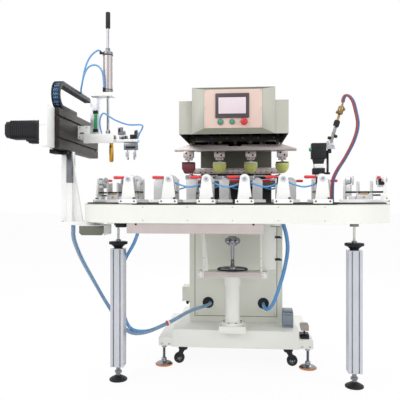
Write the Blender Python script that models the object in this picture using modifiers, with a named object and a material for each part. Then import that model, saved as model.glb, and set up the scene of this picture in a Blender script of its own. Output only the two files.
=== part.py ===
"""Pad printing machine: a cabinet with a printing head, an oval jig conveyor, a loader and a flame unit.

Metres, +Z up. While it is modelled, X = 0 is the middle of the cabinet, Y = 0 the front of the conveyor
and Z = 0 the floor. The last step moves the whole machine so that its origin is the middle of its footprint.
"""

from math import atan2, cos, hypot, pi, radians, sin

import bmesh
import bpy
from mathutils import Matrix, Vector

MM = 0.001
SEAT_GAP = 0.3 * MM  # left between pieces that touch
RUNNING_GAP = 1 * MM  # left round a shaft, rod or spindle that moves
OVERRUN = 4 * MM  # how far a cutter passes the wall, or a joined piece enters its neighbour
MERGE = 0.01 * MM
FINE_SIDES = 24
ROUND_SIDES = 16
SMALL_SIDES = 10
ARC_STEPS = 14  # straight steps in a half circle of the conveyor's outline

# Driving sizes of the conveyor
TRACK_RADIUS = 350 * MM  # outside of the apron's round ends
TRACK_HALF_STRAIGHT = 541 * MM
TRACK_Y = 350 * MM  # centre line
APRON_LOW = 965 * MM
APRON_HIGH = 1068 * MM
APRON_WALL = 4 * MM
DECK_THICKNESS = 8 * MM
BELT_THICKNESS = 8 * MM
BELT_INNER_RADIUS = 250 * MM
BELT_OUTER_RADIUS = 335 * MM
CHAIN_RADIUS = 110 * MM
CHAIN_PHASE = 196 * MM  # the first jig of the straight front run, past its left end
PALLET_COUNT = 14
JIG_HEIGHT = 1228 * MM

# Driving sizes of the machine
BASE_FRONT = 620 * MM
BASE_BACK = 1360 * MM
BASE_BOTTOM = 131 * MM
BASE_TOP = 247 * MM
BASE_STEP_TOP = 193 * MM
BASE_WIDTH = 1000 * MM
BASE_UPPER_WIDTH = 820 * MM
CABINET_WIDTH = 640 * MM
CABINET_FRONT = 855 * MM
CABINET_BACK = 1350 * MM
CABINET_TOP = 980 * MM
SHEET = 4 * MM
NECK_WIDTH = 500 * MM
NECK_FRONT = 950 * MM
NECK_BACK = 1260 * MM
HEAD_BOTTOM = 1463 * MM
HEAD_TOP = 1725 * MM
HEAD_FRONT = 180 * MM
HEAD_BACK = 1300 * MM
HEAD_WIDTH = 468 * MM
WING_WIDTH = 616 * MM
WING_TOP = 1651 * MM
HEAD_SHEET = 6 * MM
PANEL_FRONT = 129 * MM
PANEL_WIDTH = 323 * MM
PANEL_LOW = 1487 * MM
PANEL_HIGH = 1703 * MM
BEAM_Y = 670 * MM
BEAM_LOW = 1410 * MM
BEAM_HIGH = 1451 * MM
PAD_PITCH = 204 * MM
COLUMN_X = -16 * MM
COLUMN_SETBACK = 285 * MM  # behind the conveyor's centre line
COLUMN_Y = TRACK_Y + COLUMN_SETBACK
STAND_X = 700 * MM
STAND_SIZE = 80 * MM
STAND_LOW = 88 * MM
STAND_HIGH = 798 * MM
STAND_ROD_RADIUS = 8 * MM

# Driving sizes of the loader and the flame unit
LOADER_Y = 350 * MM
MODULE_LEFT = -1000 * MM
MODULE_RIGHT = -940 * MM
MODULE_LOW = 1374 * MM
MODULE_HIGH = 1594 * MM
MODULE_LENGTH = 750 * MM
LIFT_X = -764 * MM
FLAME_Y = 350 * MM
FLAME_X = 494 * MM
TORCH_PIVOT_X = 562 * MM
TORCH_PIVOT_Z = 1415 * MM

PARTS = "pad_printing_machine"
TOOLS = "pad_printing_machine_tools"

for old in list(bpy.data.objects):
    bpy.data.objects.remove(old)
for label in (PARTS, TOOLS):
    bpy.context.scene.collection.children.link(bpy.data.collections.new(label))


def linear(channel):
    share = channel / 255
    return share / 12.92 if share <= 0.04045 else ((share + 0.055) / 1.055) ** 2.4


def finish(name, colour, roughness, metallic=0):
    """A plain finish: sRGB hex colour, roughness and metallic."""
    made = bpy.data.materials.new(name)
    made.use_nodes = True
    shader = made.node_tree.nodes["Principled BSDF"]
    rgb = [linear(int(colour[at : at + 2], 16)) for at in (1, 3, 5)]
    shader.inputs["Base Color"].default_value = (*rgb, 1)
    shader.inputs["Roughness"].default_value = roughness
    shader.inputs["Metallic"].default_value = metallic
    made.diffuse_color = (*rgb, 1)
    return made


def span(centre, width):
    return centre - width / 2, centre + width / 2


def placed(name, data, tool=False):
    """A new object in the collection of the parts, or of the shapes that cut and join them."""
    made = bpy.data.objects.new(name, data)
    bpy.data.collections[TOOLS if tool else PARTS].objects.link(made)
    if tool:
        made.hide_render = True
        made.display_type = "WIRE"
    return made


def from_bmesh(name, shape, tool, smooth=False):
    mesh = bpy.data.meshes.new(name)
    shape.to_mesh(mesh)
    shape.free()
    if smooth:
        mesh.shade_smooth()
        mesh.set_sharp_from_angle(angle=radians(35))
    return placed(name, mesh, tool)


def block(name, x, y, z, tool=False, front_share=1, top_share=1):
    """A box between pairs of places. The shares narrow its front face, or its top face along X."""
    size = Vector((x[1] - x[0], y[1] - y[0], z[1] - z[0]))
    shape = bmesh.new()
    bmesh.ops.create_cube(shape, size=1)
    for vert in shape.verts:
        if vert.co.y < 0:
            vert.co.x *= front_share
            vert.co.z *= front_share
        if vert.co.z > 0:
            vert.co.x *= top_share
        vert.co *= size
    made = from_bmesh(name, shape, tool)
    made.location = Vector((x[0] + x[1], y[0] + y[1], z[0] + z[1])) / 2
    return made


def rod(name, radius, start, end, tool=False, sides=ROUND_SIDES, end_radius=None):
    """A round bar or a cone from one point to another."""
    start, end = Vector(start), Vector(end)
    shape = bmesh.new()
    bmesh.ops.create_cone(
        shape,
        cap_ends=True,
        segments=sides,
        radius1=radius,
        radius2=radius if end_radius is None else end_radius,
        depth=(end - start).length,
    )
    turn = Vector((0, 0, 1)).rotation_difference(end - start)
    bmesh.ops.rotate(shape, verts=shape.verts, cent=(0, 0, 0), matrix=turn.to_matrix())
    made = from_bmesh(name, shape, tool, smooth=True)
    made.location = (start + end) / 2
    return made


def turned(name, profile, place, tool=False, steps=ROUND_SIDES, tilt=(0, 0, 0)):
    """A turned shape. The profile's (radius, height) points run down its outer side."""
    shape = bmesh.new()
    points = [shape.verts.new((radius, 0, height)) for radius, height in profile]
    closed = profile[0][0] > 0
    for first, second in zip(points, points[1:] + points[:1] if closed else points[1:]):
        shape.edges.new((first, second))
    made = from_bmesh(name, shape, tool)
    screw = made.modifiers.new("turn", "SCREW")
    screw.steps = screw.render_steps = steps
    screw.use_merge_vertices = True
    screw.merge_threshold = MERGE
    screw.use_smooth_shade = True
    made.location = place
    made.rotation_euler = tilt
    return made


def slab(name, outlines, thickness, place=(0, 0, 0), turn=(0, 0, 0), tool=False):
    """A flat outline, with any holes, given a thickness about its own plane."""
    curve = bpy.data.curves.new(name, "CURVE")
    curve.dimensions = "2D"
    curve.fill_mode = "BOTH"
    curve.extrude = thickness / 2
    for outline in outlines:
        spline = curve.splines.new("POLY")
        spline.points.add(len(outline) - 1)
        for point, (x, y) in zip(spline.points, outline):
            point.co = (x, y, 0, 1)
        spline.use_cyclic_u = True
    made = placed(name, curve, tool)
    made.location = place
    made.rotation_euler = turn
    return made


def smooth_route(points, step):
    """Evenly spaced points on a smooth curve through the route's own points."""
    route = [Vector(point) for point in points]
    ends = [route[0] * 2 - route[1]] + route + [route[-1] * 2 - route[-2]]
    fine = []
    for a, b, c, d in zip(ends, ends[1:], ends[2:], ends[3:]):
        parts = max(2, round((c - b).length / step))
        for index in range(parts):
            t = index / parts
            bend = (a * 2 - b * 5 + c * 4 - d) * t**2 + (b * 3 - a - c * 3 + d) * t**3
            fine.append((b * 2 + (c - a) * t + bend) / 2)
    return fine + [route[-1]]


def tube(name, routes, radius, tool=False, resolution=2):
    """Round tubes along the routes."""
    curve = bpy.data.curves.new(name, "CURVE")
    curve.dimensions = "3D"
    curve.bevel_depth = radius
    curve.bevel_resolution = resolution
    curve.use_fill_caps = True
    for route in routes:
        spline = curve.splines.new("POLY")
        spline.points.add(len(route) - 1)
        for point, place in zip(spline.points, route):
            point.co = (*place, 1)
    return placed(name, curve, tool)


def mesh_of(made):
    """The finished mesh of an object, in the world's place, with the object removed."""
    bpy.context.view_layer.update()
    seen = made.evaluated_get(bpy.context.evaluated_depsgraph_get())
    mesh = bpy.data.meshes.new_from_object(seen)
    mesh.transform(made.matrix_world)
    shape = bmesh.new()
    shape.from_mesh(mesh)
    bmesh.ops.remove_doubles(shape, verts=shape.verts, dist=MERGE)
    shape.to_mesh(mesh)
    shape.free()
    bpy.data.objects.remove(made)
    return mesh


def as_mesh(made, tool=False):
    name = made.name
    mesh = mesh_of(made)
    return placed(name, mesh, tool)


def boolean(target, pieces, operation):
    for piece in pieces:
        step = target.modifiers.new(operation.lower(), "BOOLEAN")
        step.operation = operation
        step.object = piece
    return target


def fused(target, *pieces):
    return boolean(target, pieces, "UNION")


def cut(target, *pieces):
    return boolean(target, pieces, "DIFFERENCE")


def moved(mesh, matrix):
    copy = mesh.copy()
    copy.transform(matrix)
    return copy


def rounded(made, width, segments=1):
    bevel = made.modifiers.new("round", "BEVEL")
    bevel.width = width
    bevel.segments = segments
    bevel.limit_method = "ANGLE"
    return made


def pivot(name, place, children, parent=None):
    """An empty on a joint's axis, which carries the pieces that move with the joint."""
    empty = placed(name, None)
    empty.empty_display_size = RUNNING_GAP
    empty.location = place
    if parent:
        bpy.context.view_layer.update()
        empty.parent = parent
        empty.matrix_parent_inverse = parent.matrix_world.inverted()
    bpy.context.view_layer.update()
    for child in children:
        child.parent = empty
        child.matrix_parent_inverse = empty.matrix_world.inverted()
    return empty


def dress(made, material):
    made.data.materials.clear()
    made.data.materials.append(material)
    return made


ACROSS = (pi / 2, 0, 0)  # turns an outline of (X, Z) points upright, with its thickness along Y
ALONG = (pi / 2, 0, pi / 2)  # turns an outline of (Y, Z) points upright, with its thickness along X


def track_outline(radius):
    """The conveyor's oval at a distance from its centre line."""
    points = []
    for side, start in ((1, -pi / 2), (-1, pi / 2)):
        for step in range(ARC_STEPS + 1):
            angle = start + pi * step / ARC_STEPS
            points.append((side * TRACK_HALF_STRAIGHT + radius * cos(angle), TRACK_Y + radius * sin(angle)))
    return points


def stations():
    """Where each pallet stands: its place on the centre line and the way it points."""
    straight = 2 * TRACK_HALF_STRAIGHT
    arc = pi * CHAIN_RADIUS
    loop = 2 * (straight + arc)
    found = []
    for index in range(PALLET_COUNT):
        way = (CHAIN_PHASE + index * loop / PALLET_COUNT) % loop
        side = 1 if way < straight + arc else -1
        way %= straight + arc
        along = min(way, straight) - TRACK_HALF_STRAIGHT
        turn = max(way - straight, 0) / CHAIN_RADIUS
        found.append((side * along, turn - side * pi / 2, side, turn))
    return found


def station_matrix(station):
    return Matrix.Translation((station[0], TRACK_Y, 0)) @ Matrix.Rotation(station[1], 4, "Z")


CREAM = finish("cream_paint", "#E6E6E2", 0.45)
GREIGE = finish("grey_green_paint", "#C9C9BC", 0.5)
OLIVE = finish("dark_olive_paint", "#6C6D62", 0.55)
PINK = finish("control_panel_foil", "#DCCFC6", 0.5)
SILVER = finish("machined_aluminium", "#D5D6DE", 0.35, 1)
WARM = finish("anodised_aluminium", "#B8ADAC", 0.4, 1)
CHROME = finish("chrome", "#D8DADD", 0.12, 1)
BLACK = finish("black_plastic", "#2A2A30", 0.5)
RUBBER = finish("black_rubber", "#1E1E20", 0.8)
BRASS = finish("brass", "#B98E4A", 0.3, 1)
RED = finish("red_grip", "#E0303C", 0.45)
GREEN = finish("green_button", "#1F9E6E", 0.35)
LIME = finish("silicone_lime", "#C6C96F", 0.5)
BLUE = finish("blue_tubing", "#5B8FC0", 0.35)
WHITE = finish("white_paint", "#EFEFEF", 0.45)

# Feet and casters
FOOT_X = 470 * MM
FOOT_Y = (670 * MM, 1310 * MM)
FOOT_RADIUS = 57 * MM
FOOT_RIM = 10 * MM
FOOT_DOME = 28 * MM
FOOT_STEM_RADIUS = 9 * MM
FOOT_HUB_RADIUS = 20 * MM
CASTER_X = 347 * MM
CASTER_Y = (700 * MM, 1290 * MM)
CASTER_TRAIL = 25 * MM
WHEEL_RADIUS = 35 * MM
WHEEL_WIDTH = 28 * MM
WHEEL_HEIGHT = 40 * MM
FORK_PLATE = 4 * MM
FORK_TOP = 8 * MM
FORK_WIDTH = 44 * MM
FORK_STEM_RADIUS = 14 * MM
FORK_DISC_RADIUS = 34 * MM
FORK_CROWN = 14 * MM
AXLE_RADIUS = 5 * MM

# Lift column
BOSS_WIDTH = 170 * MM
BOSS_AHEAD = 75 * MM
BOSS_BEHIND = 85 * MM
BOSS_TOP = 285 * MM
BOSS_SUNK = 7 * MM
FILTER_X = 347 * MM
FILTER_Y = 760 * MM
FILTER_BOX = (72 * MM, 80 * MM, 118 * MM)
COLUMN_RADIUS = 45 * MM
COLUMN_FOOT_RADIUS = 47 * MM
COLUMN_TOP = 545 * MM
COLUMN_FLANGE_RADIUS = 72 * MM
COLUMN_FLANGE = 16 * MM
SCREW_RADIUS = 12.5 * MM
BAR_LOW = 595 * MM
BAR_HIGH = 631 * MM
SLEEVE_WALL = 4 * MM
SLEEVE_LENGTH = 60 * MM
WHEEL_RIM_RADIUS = 100 * MM
RIM_BAR_RADIUS = 6 * MM
HANDWHEEL_Z = 642 * MM
KNOB_LOW = 795 * MM
KNOB_HIGH = 856 * MM
KNOB_RADIUS = 52 * MM
KNOB_LOBES = 7
KNOB_WAVE_SHARE = 0.14


def make_base():
    upper = block(
        "base_block",
        span(0, BASE_UPPER_WIDTH),
        (BASE_FRONT, BASE_BACK),
        (BASE_BOTTOM, BASE_TOP),
    )
    lower = block(
        "base_steps",
        span(0, BASE_WIDTH),
        (BASE_FRONT + OVERRUN, BASE_BACK - OVERRUN),
        (BASE_BOTTOM + OVERRUN, BASE_STEP_TOP),
        tool=True,
    )
    boss = block(
        "base_boss",
        span(COLUMN_X, BOSS_WIDTH),
        (COLUMN_Y - BOSS_AHEAD, COLUMN_Y + BOSS_BEHIND),
        (BASE_TOP - BOSS_SUNK, BOSS_TOP),
        tool=True,
    )
    filter_box = block(
        "filter_box",
        span(FILTER_X, FILTER_BOX[0]),
        span(FILTER_Y, FILTER_BOX[1]),
        (BASE_TOP - BOSS_SUNK, BASE_TOP + FILTER_BOX[2]),
        tool=True,
    )
    forks = []
    for side in (-1, 1):
        for y in CASTER_Y:
            forks += fork_pieces(side * CASTER_X, y, side)
    dress(fused(upper, lower, boss, filter_box, *forks, *pedal_post_pieces()), CREAM)


def foot_profile(top):
    return [
        (0, top),
        (FOOT_STEM_RADIUS, top),
        (FOOT_STEM_RADIUS, FOOT_DOME),
        (FOOT_HUB_RADIUS, FOOT_DOME),
        (FOOT_RADIUS, FOOT_RIM),
        (FOOT_RADIUS, 0),
        (0, 0),
    ]


def make_feet():
    for side, word in ((-1, "left"), (1, "right")):
        for end, y in zip(("front", "rear"), FOOT_Y):
            foot = turned(
                f"levelling_foot_{end}_{word}",
                foot_profile(BASE_BOTTOM + OVERRUN - SEAT_GAP),
                (side * FOOT_X, y, 0),
            )
            dress(foot, CHROME)


def fork_pieces(x, y, way):
    """A caster's fork. Its wheel trails along X and turns about an axle along Y."""
    wheel_x = x + way * CASTER_TRAIL
    top = BASE_BOTTOM + OVERRUN
    crown_low = WHEEL_HEIGHT + WHEEL_RADIUS + FORK_TOP
    crown = (crown_low, crown_low + FORK_TOP)
    pieces = [block("fork_crown", span((x + wheel_x) / 2, FORK_WIDTH), span(y, FORK_WIDTH), crown, tool=True)]
    middle = crown_low + FORK_TOP / 2
    pieces.append(
        rod("fork_disc", FORK_DISC_RADIUS, (x, y, middle), (x, y, crown_low + FORK_CROWN), tool=True)
    )
    pieces.append(rod("fork_stem", FORK_STEM_RADIUS, (x, y, middle), (x, y, top), tool=True))
    for side in (-1, 1):
        cheek_y = span(y + side * (FORK_WIDTH - FORK_PLATE) / 2, FORK_PLATE)
        cheek_z = (WHEEL_HEIGHT - FORK_STEM_RADIUS, middle)
        pieces.append(block("fork_cheek", span(wheel_x, 2 * FORK_STEM_RADIUS), cheek_y, cheek_z, tool=True))
    reach = (FORK_WIDTH - FORK_PLATE) / 2
    pieces.append(
        rod(
            "fork_axle",
            AXLE_RADIUS,
            (wheel_x, y - reach, WHEEL_HEIGHT),
            (wheel_x, y + reach, WHEEL_HEIGHT),
            tool=True,
            sides=SMALL_SIDES,
        )
    )
    return pieces


def make_wheels():
    bore = AXLE_RADIUS + RUNNING_GAP
    half = WHEEL_WIDTH / 2
    shoulder = half * 2 / 3
    profile = [
        (bore, half),
        (WHEEL_RADIUS - FORK_PLATE, half),
        (WHEEL_RADIUS, shoulder),
        (WHEEL_RADIUS, -shoulder),
        (WHEEL_RADIUS - FORK_PLATE, -half),
        (bore, -half),
    ]
    for side, word in ((-1, "left"), (1, "right")):
        for end, y in zip(("front", "rear"), CASTER_Y):
            place = (side * (CASTER_X + CASTER_TRAIL), y, WHEEL_HEIGHT)
            name = f"caster_wheel_{end}_{word}"
            wheel = dress(turned(name, profile, place, steps=FINE_SIDES, tilt=ACROSS), RUBBER)
            pivot(f"{name}_axis", place, [wheel])


# Cabinet
HOSE_HOLE_X = 190 * MM
HOSE_HOLE_Z = 380 * MM
HOSE_HOLE_RADIUS = 32 * MM
COVER_WIDTH = 560 * MM
COVER_LOW = 290 * MM
COVER_HIGH = 950 * MM
COVER_SHEET = 3 * MM
DOOR_HALF = 300 * MM
DOOR_LOW = 270 * MM
DOOR_HIGH = 960 * MM
DOOR_PULL = (22 * MM, 110 * MM)
DOOR_PULL_DEPTH = 26 * MM
DOOR_FRAME = 22 * MM
DOOR_PIN = 8 * MM
GEAR_PLATE_Y = 1000 * MM
GEAR_PLATE = 6 * MM
GEAR_HALF_WIDTH = 240 * MM
GEAR_HIGH = 860 * MM
GEAR_BOX_DEPTH = 90 * MM
GEAR_BOX_SHARES = ((-0.9, -0.2, 0.5, 0.9), (0, 0.85, 0.55, 0.9), (-0.9, 0.85, 0.12, 0.4))
TERMINAL_BOX = (62 * MM, 130 * MM, 101 * MM)
TERMINAL_BOX_Y = 950 * MM
TERMINAL_BOX_LOW = 368 * MM


def hole_pair(name, low, high):
    return [
        rod(
            f"{name}_{side}",
            HOSE_HOLE_RADIUS,
            (side * HOSE_HOLE_X, low, HOSE_HOLE_Z),
            (side * HOSE_HOLE_X, high, HOSE_HOLE_Z),
            tool=True,
            sides=FINE_SIDES,
        )
        for side in (-1, 1)
    ]


def make_cabinet():
    foot = BASE_TOP + SEAT_GAP
    shell = block("cabinet_shell", span(0, CABINET_WIDTH), (CABINET_FRONT, CABINET_BACK), (foot, CABINET_TOP))
    inside = block(
        "cabinet_inside",
        span(0, CABINET_WIDTH - 2 * SHEET),
        (CABINET_FRONT + SHEET, CABINET_BACK - DOOR_FRAME),
        (foot + SHEET, CABINET_TOP - SHEET),
        tool=True,
    )
    doorway = block(
        "cabinet_doorway",
        (-DOOR_HALF + DOOR_FRAME, DOOR_HALF - DOOR_FRAME),
        (CABINET_BACK - DOOR_FRAME - OVERRUN, CABINET_BACK + OVERRUN),
        (DOOR_LOW + DOOR_FRAME, DOOR_HIGH - DOOR_FRAME),
        tool=True,
    )
    left = -CABINET_WIDTH / 2 + SHEET / 2
    terminal = block(
        "terminal_box",
        (left - TERMINAL_BOX[0], left),
        (TERMINAL_BOX_Y, TERMINAL_BOX_Y + TERMINAL_BOX[1]),
        (TERMINAL_BOX_LOW, TERMINAL_BOX_LOW + TERMINAL_BOX[2]),
        tool=True,
    )
    fused(shell, terminal)
    holes = hole_pair("cabinet_hose_hole", CABINET_FRONT - OVERRUN, CABINET_FRONT + 2 * OVERRUN)
    cut(shell, inside, doorway, *holes)
    dress(shell, GREIGE)

    cover_back = CABINET_FRONT - SEAT_GAP
    cover_front = cover_back - COVER_SHEET
    cover_z = (COVER_LOW, COVER_HIGH)
    cover = block("cabinet_front_cover", span(0, COVER_WIDTH), (cover_front, cover_back), cover_z)
    cut(cover, *hole_pair("cover_hose_hole", cover_front - OVERRUN, cover_back + OVERRUN))
    dress(cover, GREIGE)

    door_front = CABINET_BACK + SEAT_GAP
    door_back = door_front + SHEET
    door = block("rear_door", (-DOOR_HALF, DOOR_HALF), (door_front, door_back), (DOOR_LOW, DOOR_HIGH))
    pull_x = DOOR_HALF - 2 * DOOR_PULL[0]
    handle = block(
        "rear_door_pull",
        span(pull_x, DOOR_PULL[0]),
        (door_back - SHEET / 2, door_back + DOOR_PULL_DEPTH),
        span((DOOR_LOW + DOOR_HIGH) / 2, DOOR_PULL[1]),
        tool=True,
    )
    hinge_x = -DOOR_HALF
    hinge_y = door_back + DOOR_PIN / 2
    pin_ends = [(hinge_x, hinge_y, z) for z in (DOOR_LOW, DOOR_HIGH)]
    pin = rod("rear_door_pin", DOOR_PIN, *pin_ends, tool=True)
    clear = block(
        "rear_door_relief",
        (hinge_x - 2 * DOOR_PIN, hinge_x + 2 * DOOR_PIN),
        (CABINET_BACK - DOOR_FRAME, door_front),
        (DOOR_LOW - OVERRUN, DOOR_HIGH + OVERRUN),
        tool=True,
    )
    dress(cut(fused(door, handle, pin), clear), GREIGE)
    pivot("rear_door_axis", (hinge_x, hinge_y, DOOR_LOW), [door])

    gear_low = foot + SHEET + SEAT_GAP
    gear = block(
        "control_gear",
        (-GEAR_HALF_WIDTH, GEAR_HALF_WIDTH),
        (GEAR_PLATE_Y, GEAR_PLATE_Y + GEAR_PLATE),
        (gear_low, GEAR_HIGH),
    )
    boxes = []
    for left, right, low, high in GEAR_BOX_SHARES:
        rise = GEAR_HIGH - gear_low
        boxes.append(
            block(
                "control_gear_box",
                (left * GEAR_HALF_WIDTH, right * GEAR_HALF_WIDTH),
                (GEAR_PLATE_Y + GEAR_PLATE / 2, GEAR_PLATE_Y + GEAR_BOX_DEPTH),
                (gear_low + low * rise, gear_low + high * rise),
                tool=True,
            )
        )
    dress(fused(gear, *boxes), BLACK)


# Foot pedal
PEDAL_X = 450 * MM
PEDAL_FRONT = 650 * MM
PEDAL_BASE = (56 * MM, 90 * MM, 30 * MM)
PEDAL_POST = (10 * MM, 16 * MM)
PEDAL_PIVOT_Z = 262 * MM
PEDAL_PIN_RADIUS = 4 * MM
PEDAL_PLATE = (52 * MM, 76 * MM, 7 * MM)
PEDAL_RISE = 14 * MM
PEDAL_EAR = 8 * MM


def pedal_post_pieces():
    """The pedal's foot, post and pin, which are fixed to the base."""
    foot = BASE_STEP_TOP - OVERRUN
    base = block(
        "pedal_base",
        span(PEDAL_X, PEDAL_BASE[0]),
        (PEDAL_FRONT, PEDAL_FRONT + PEDAL_BASE[1]),
        (foot, foot + PEDAL_BASE[2]),
        tool=True,
        top_share=0.7,
    )
    middle = PEDAL_FRONT + PEDAL_BASE[1] / 2
    stem = block(
        "pedal_stem",
        span(PEDAL_X, PEDAL_POST[0]),
        span(middle, PEDAL_POST[1]),
        (foot + PEDAL_BASE[2] / 2, PEDAL_PIVOT_Z + PEDAL_PIN_RADIUS),
        tool=True,
    )
    pin_reach = PEDAL_POST[0] / 2 + 2 * PEDAL_EAR
    pin = rod(
        "pedal_pin",
        PEDAL_PIN_RADIUS,
        (PEDAL_X - pin_reach, middle, PEDAL_PIVOT_Z),
        (PEDAL_X + pin_reach, middle, PEDAL_PIVOT_Z),
        tool=True,
        sides=SMALL_SIDES,
    )
    return [base, stem, pin]


def make_pedal():
    middle = PEDAL_FRONT + PEDAL_BASE[1] / 2
    plate_low = PEDAL_PIVOT_Z + PEDAL_RISE
    plate = block(
        "foot_pedal",
        span(PEDAL_X, PEDAL_PLATE[0]),
        span(middle, PEDAL_PLATE[1]),
        (plate_low, plate_low + PEDAL_PLATE[2]),
    )
    ears = []
    for side in (-1, 1):
        ear_x = PEDAL_X + side * (PEDAL_POST[0] / 2 + RUNNING_GAP + PEDAL_EAR / 2)
        ears.append(
            block(
                "pedal_ear",
                span(ear_x, PEDAL_EAR),
                span(middle, 3 * PEDAL_EAR),
                (PEDAL_PIVOT_Z - PEDAL_EAR, plate_low + PEDAL_PLATE[2] / 2),
                tool=True,
            )
        )
    bore_radius = PEDAL_PIN_RADIUS + RUNNING_GAP
    bore = rod(
        "pedal_bore",
        bore_radius,
        (PEDAL_X - PEDAL_PLATE[0], middle, PEDAL_PIVOT_Z),
        (PEDAL_X + PEDAL_PLATE[0], middle, PEDAL_PIVOT_Z),
        tool=True,
        sides=SMALL_SIDES,
    )
    dress(cut(fused(plate, *ears), bore), WARM)
    pivot("foot_pedal_axis", (PEDAL_X, middle, PEDAL_PIVOT_Z), [plate])


def make_column():
    profile = [
        (SCREW_RADIUS + RUNNING_GAP, COLUMN_TOP),
        (COLUMN_RADIUS, COLUMN_TOP),
        (COLUMN_FOOT_RADIUS, BOSS_TOP + COLUMN_FLANGE),
        (COLUMN_FLANGE_RADIUS, BOSS_TOP + COLUMN_FLANGE),
        (COLUMN_FLANGE_RADIUS, BOSS_TOP + SEAT_GAP),
        (SCREW_RADIUS + RUNNING_GAP, BOSS_TOP + SEAT_GAP),
    ]
    dress(turned("column_tube", profile, (COLUMN_X, COLUMN_Y, 0), steps=FINE_SIDES), CREAM)
    screw_low = BOSS_TOP + COLUMN_FLANGE
    screw_high = KNOB_LOW + KNOB_RADIUS / 2
    centre = (COLUMN_X, COLUMN_Y, 0)
    hub_radius = 2 * SCREW_RADIUS
    screw = turned(
        "column_handwheel",
        [
            (0, screw_high),
            (SCREW_RADIUS, screw_high),
            (SCREW_RADIUS, HANDWHEEL_Z + hub_radius),
            (hub_radius, HANDWHEEL_Z + hub_radius / 2),
            (hub_radius, HANDWHEEL_Z - RIM_BAR_RADIUS),
            (SCREW_RADIUS, HANDWHEEL_Z - RIM_BAR_RADIUS),
            (SCREW_RADIUS, screw_low),
            (0, screw_low),
        ],
        centre,
    )
    rim_radius = WHEEL_RIM_RADIUS - RIM_BAR_RADIUS
    rim_profile = [
        (rim_radius + RIM_BAR_RADIUS * cos(angle), HANDWHEEL_Z + RIM_BAR_RADIUS * sin(angle))
        for angle in [pi / 2 - step * pi / 3 for step in range(6)]
    ]
    rim = turned("handwheel_rim", rim_profile, centre, tool=True, steps=FINE_SIDES)
    spokes = []
    for step in range(3):
        angle = pi / 2 + step * 2 * pi / 3
        spokes.append(
            rod(
                f"handwheel_spoke_{step}",
                RIM_BAR_RADIUS - RUNNING_GAP,
                (COLUMN_X + SCREW_RADIUS * cos(angle), COLUMN_Y + SCREW_RADIUS * sin(angle), HANDWHEEL_Z),
                (COLUMN_X + rim_radius * cos(angle), COLUMN_Y + rim_radius * sin(angle), HANDWHEEL_Z),
                tool=True,
                sides=SMALL_SIDES,
            )
        )
    outline = []
    steps = KNOB_LOBES * 4
    for step in range(steps):
        angle = 2 * pi * step / steps
        radius = KNOB_RADIUS * (1 - KNOB_WAVE_SHARE + KNOB_WAVE_SHARE * cos(KNOB_LOBES * angle))
        outline.append((radius * cos(angle), radius * sin(angle)))
    knob_place = (COLUMN_X, COLUMN_Y, (KNOB_LOW + KNOB_HIGH) / 2)
    knob = as_mesh(slab("screw_knob", [outline], KNOB_HIGH - KNOB_LOW, knob_place, tool=True), tool=True)
    dress(fused(screw, rim, *spokes, knob), CHROME)
    pivot("column_handwheel_axis", (COLUMN_X, COLUMN_Y, HANDWHEEL_Z), [screw])


# Head and neck
NECK_WALL = 8 * MM
HEAD_MOUTH_BACK = 945 * MM
PLATE_THICKNESS = 2 * MM
SCREEN_X = -5 * MM
SCREEN_Z = 1611 * MM
SCREEN_SIZE = (186 * MM, 136 * MM)
SCREEN_DEPTH = 9 * MM
BUTTON_Z = 1521 * MM
STOP_Z = 1520 * MM
RAIL_X = 200 * MM
RAIL_Z = 1540 * MM
RAIL_RADIUS = 12.5 * MM
RAIL_END = 12 * MM
BED_FRONT = 745 * MM
BED_LOW = 1180 * MM
BED_HIGH = 1230 * MM
BED_WIDTH = 660 * MM
BAR_PLATE = (620 * MM, 12 * MM)
BAR_PLATE_Z = (1275 * MM, 1317 * MM)
PEDESTAL_WIDTH = 480 * MM
PEDESTAL_FRONT = 865 * MM


def make_neck():
    neck = block(
        "arm_neck",
        span(0, NECK_WIDTH),
        (NECK_FRONT, NECK_BACK),
        (CABINET_TOP + SEAT_GAP, HEAD_BOTTOM - SEAT_GAP),
    )
    inside = block(
        "neck_inside",
        span(0, NECK_WIDTH - 2 * NECK_WALL),
        (NECK_FRONT + NECK_WALL, NECK_BACK - NECK_WALL),
        (CABINET_TOP - OVERRUN, HEAD_BOTTOM + OVERRUN),
        tool=True,
    )
    dress(cut(neck, inside), OLIVE)


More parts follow.
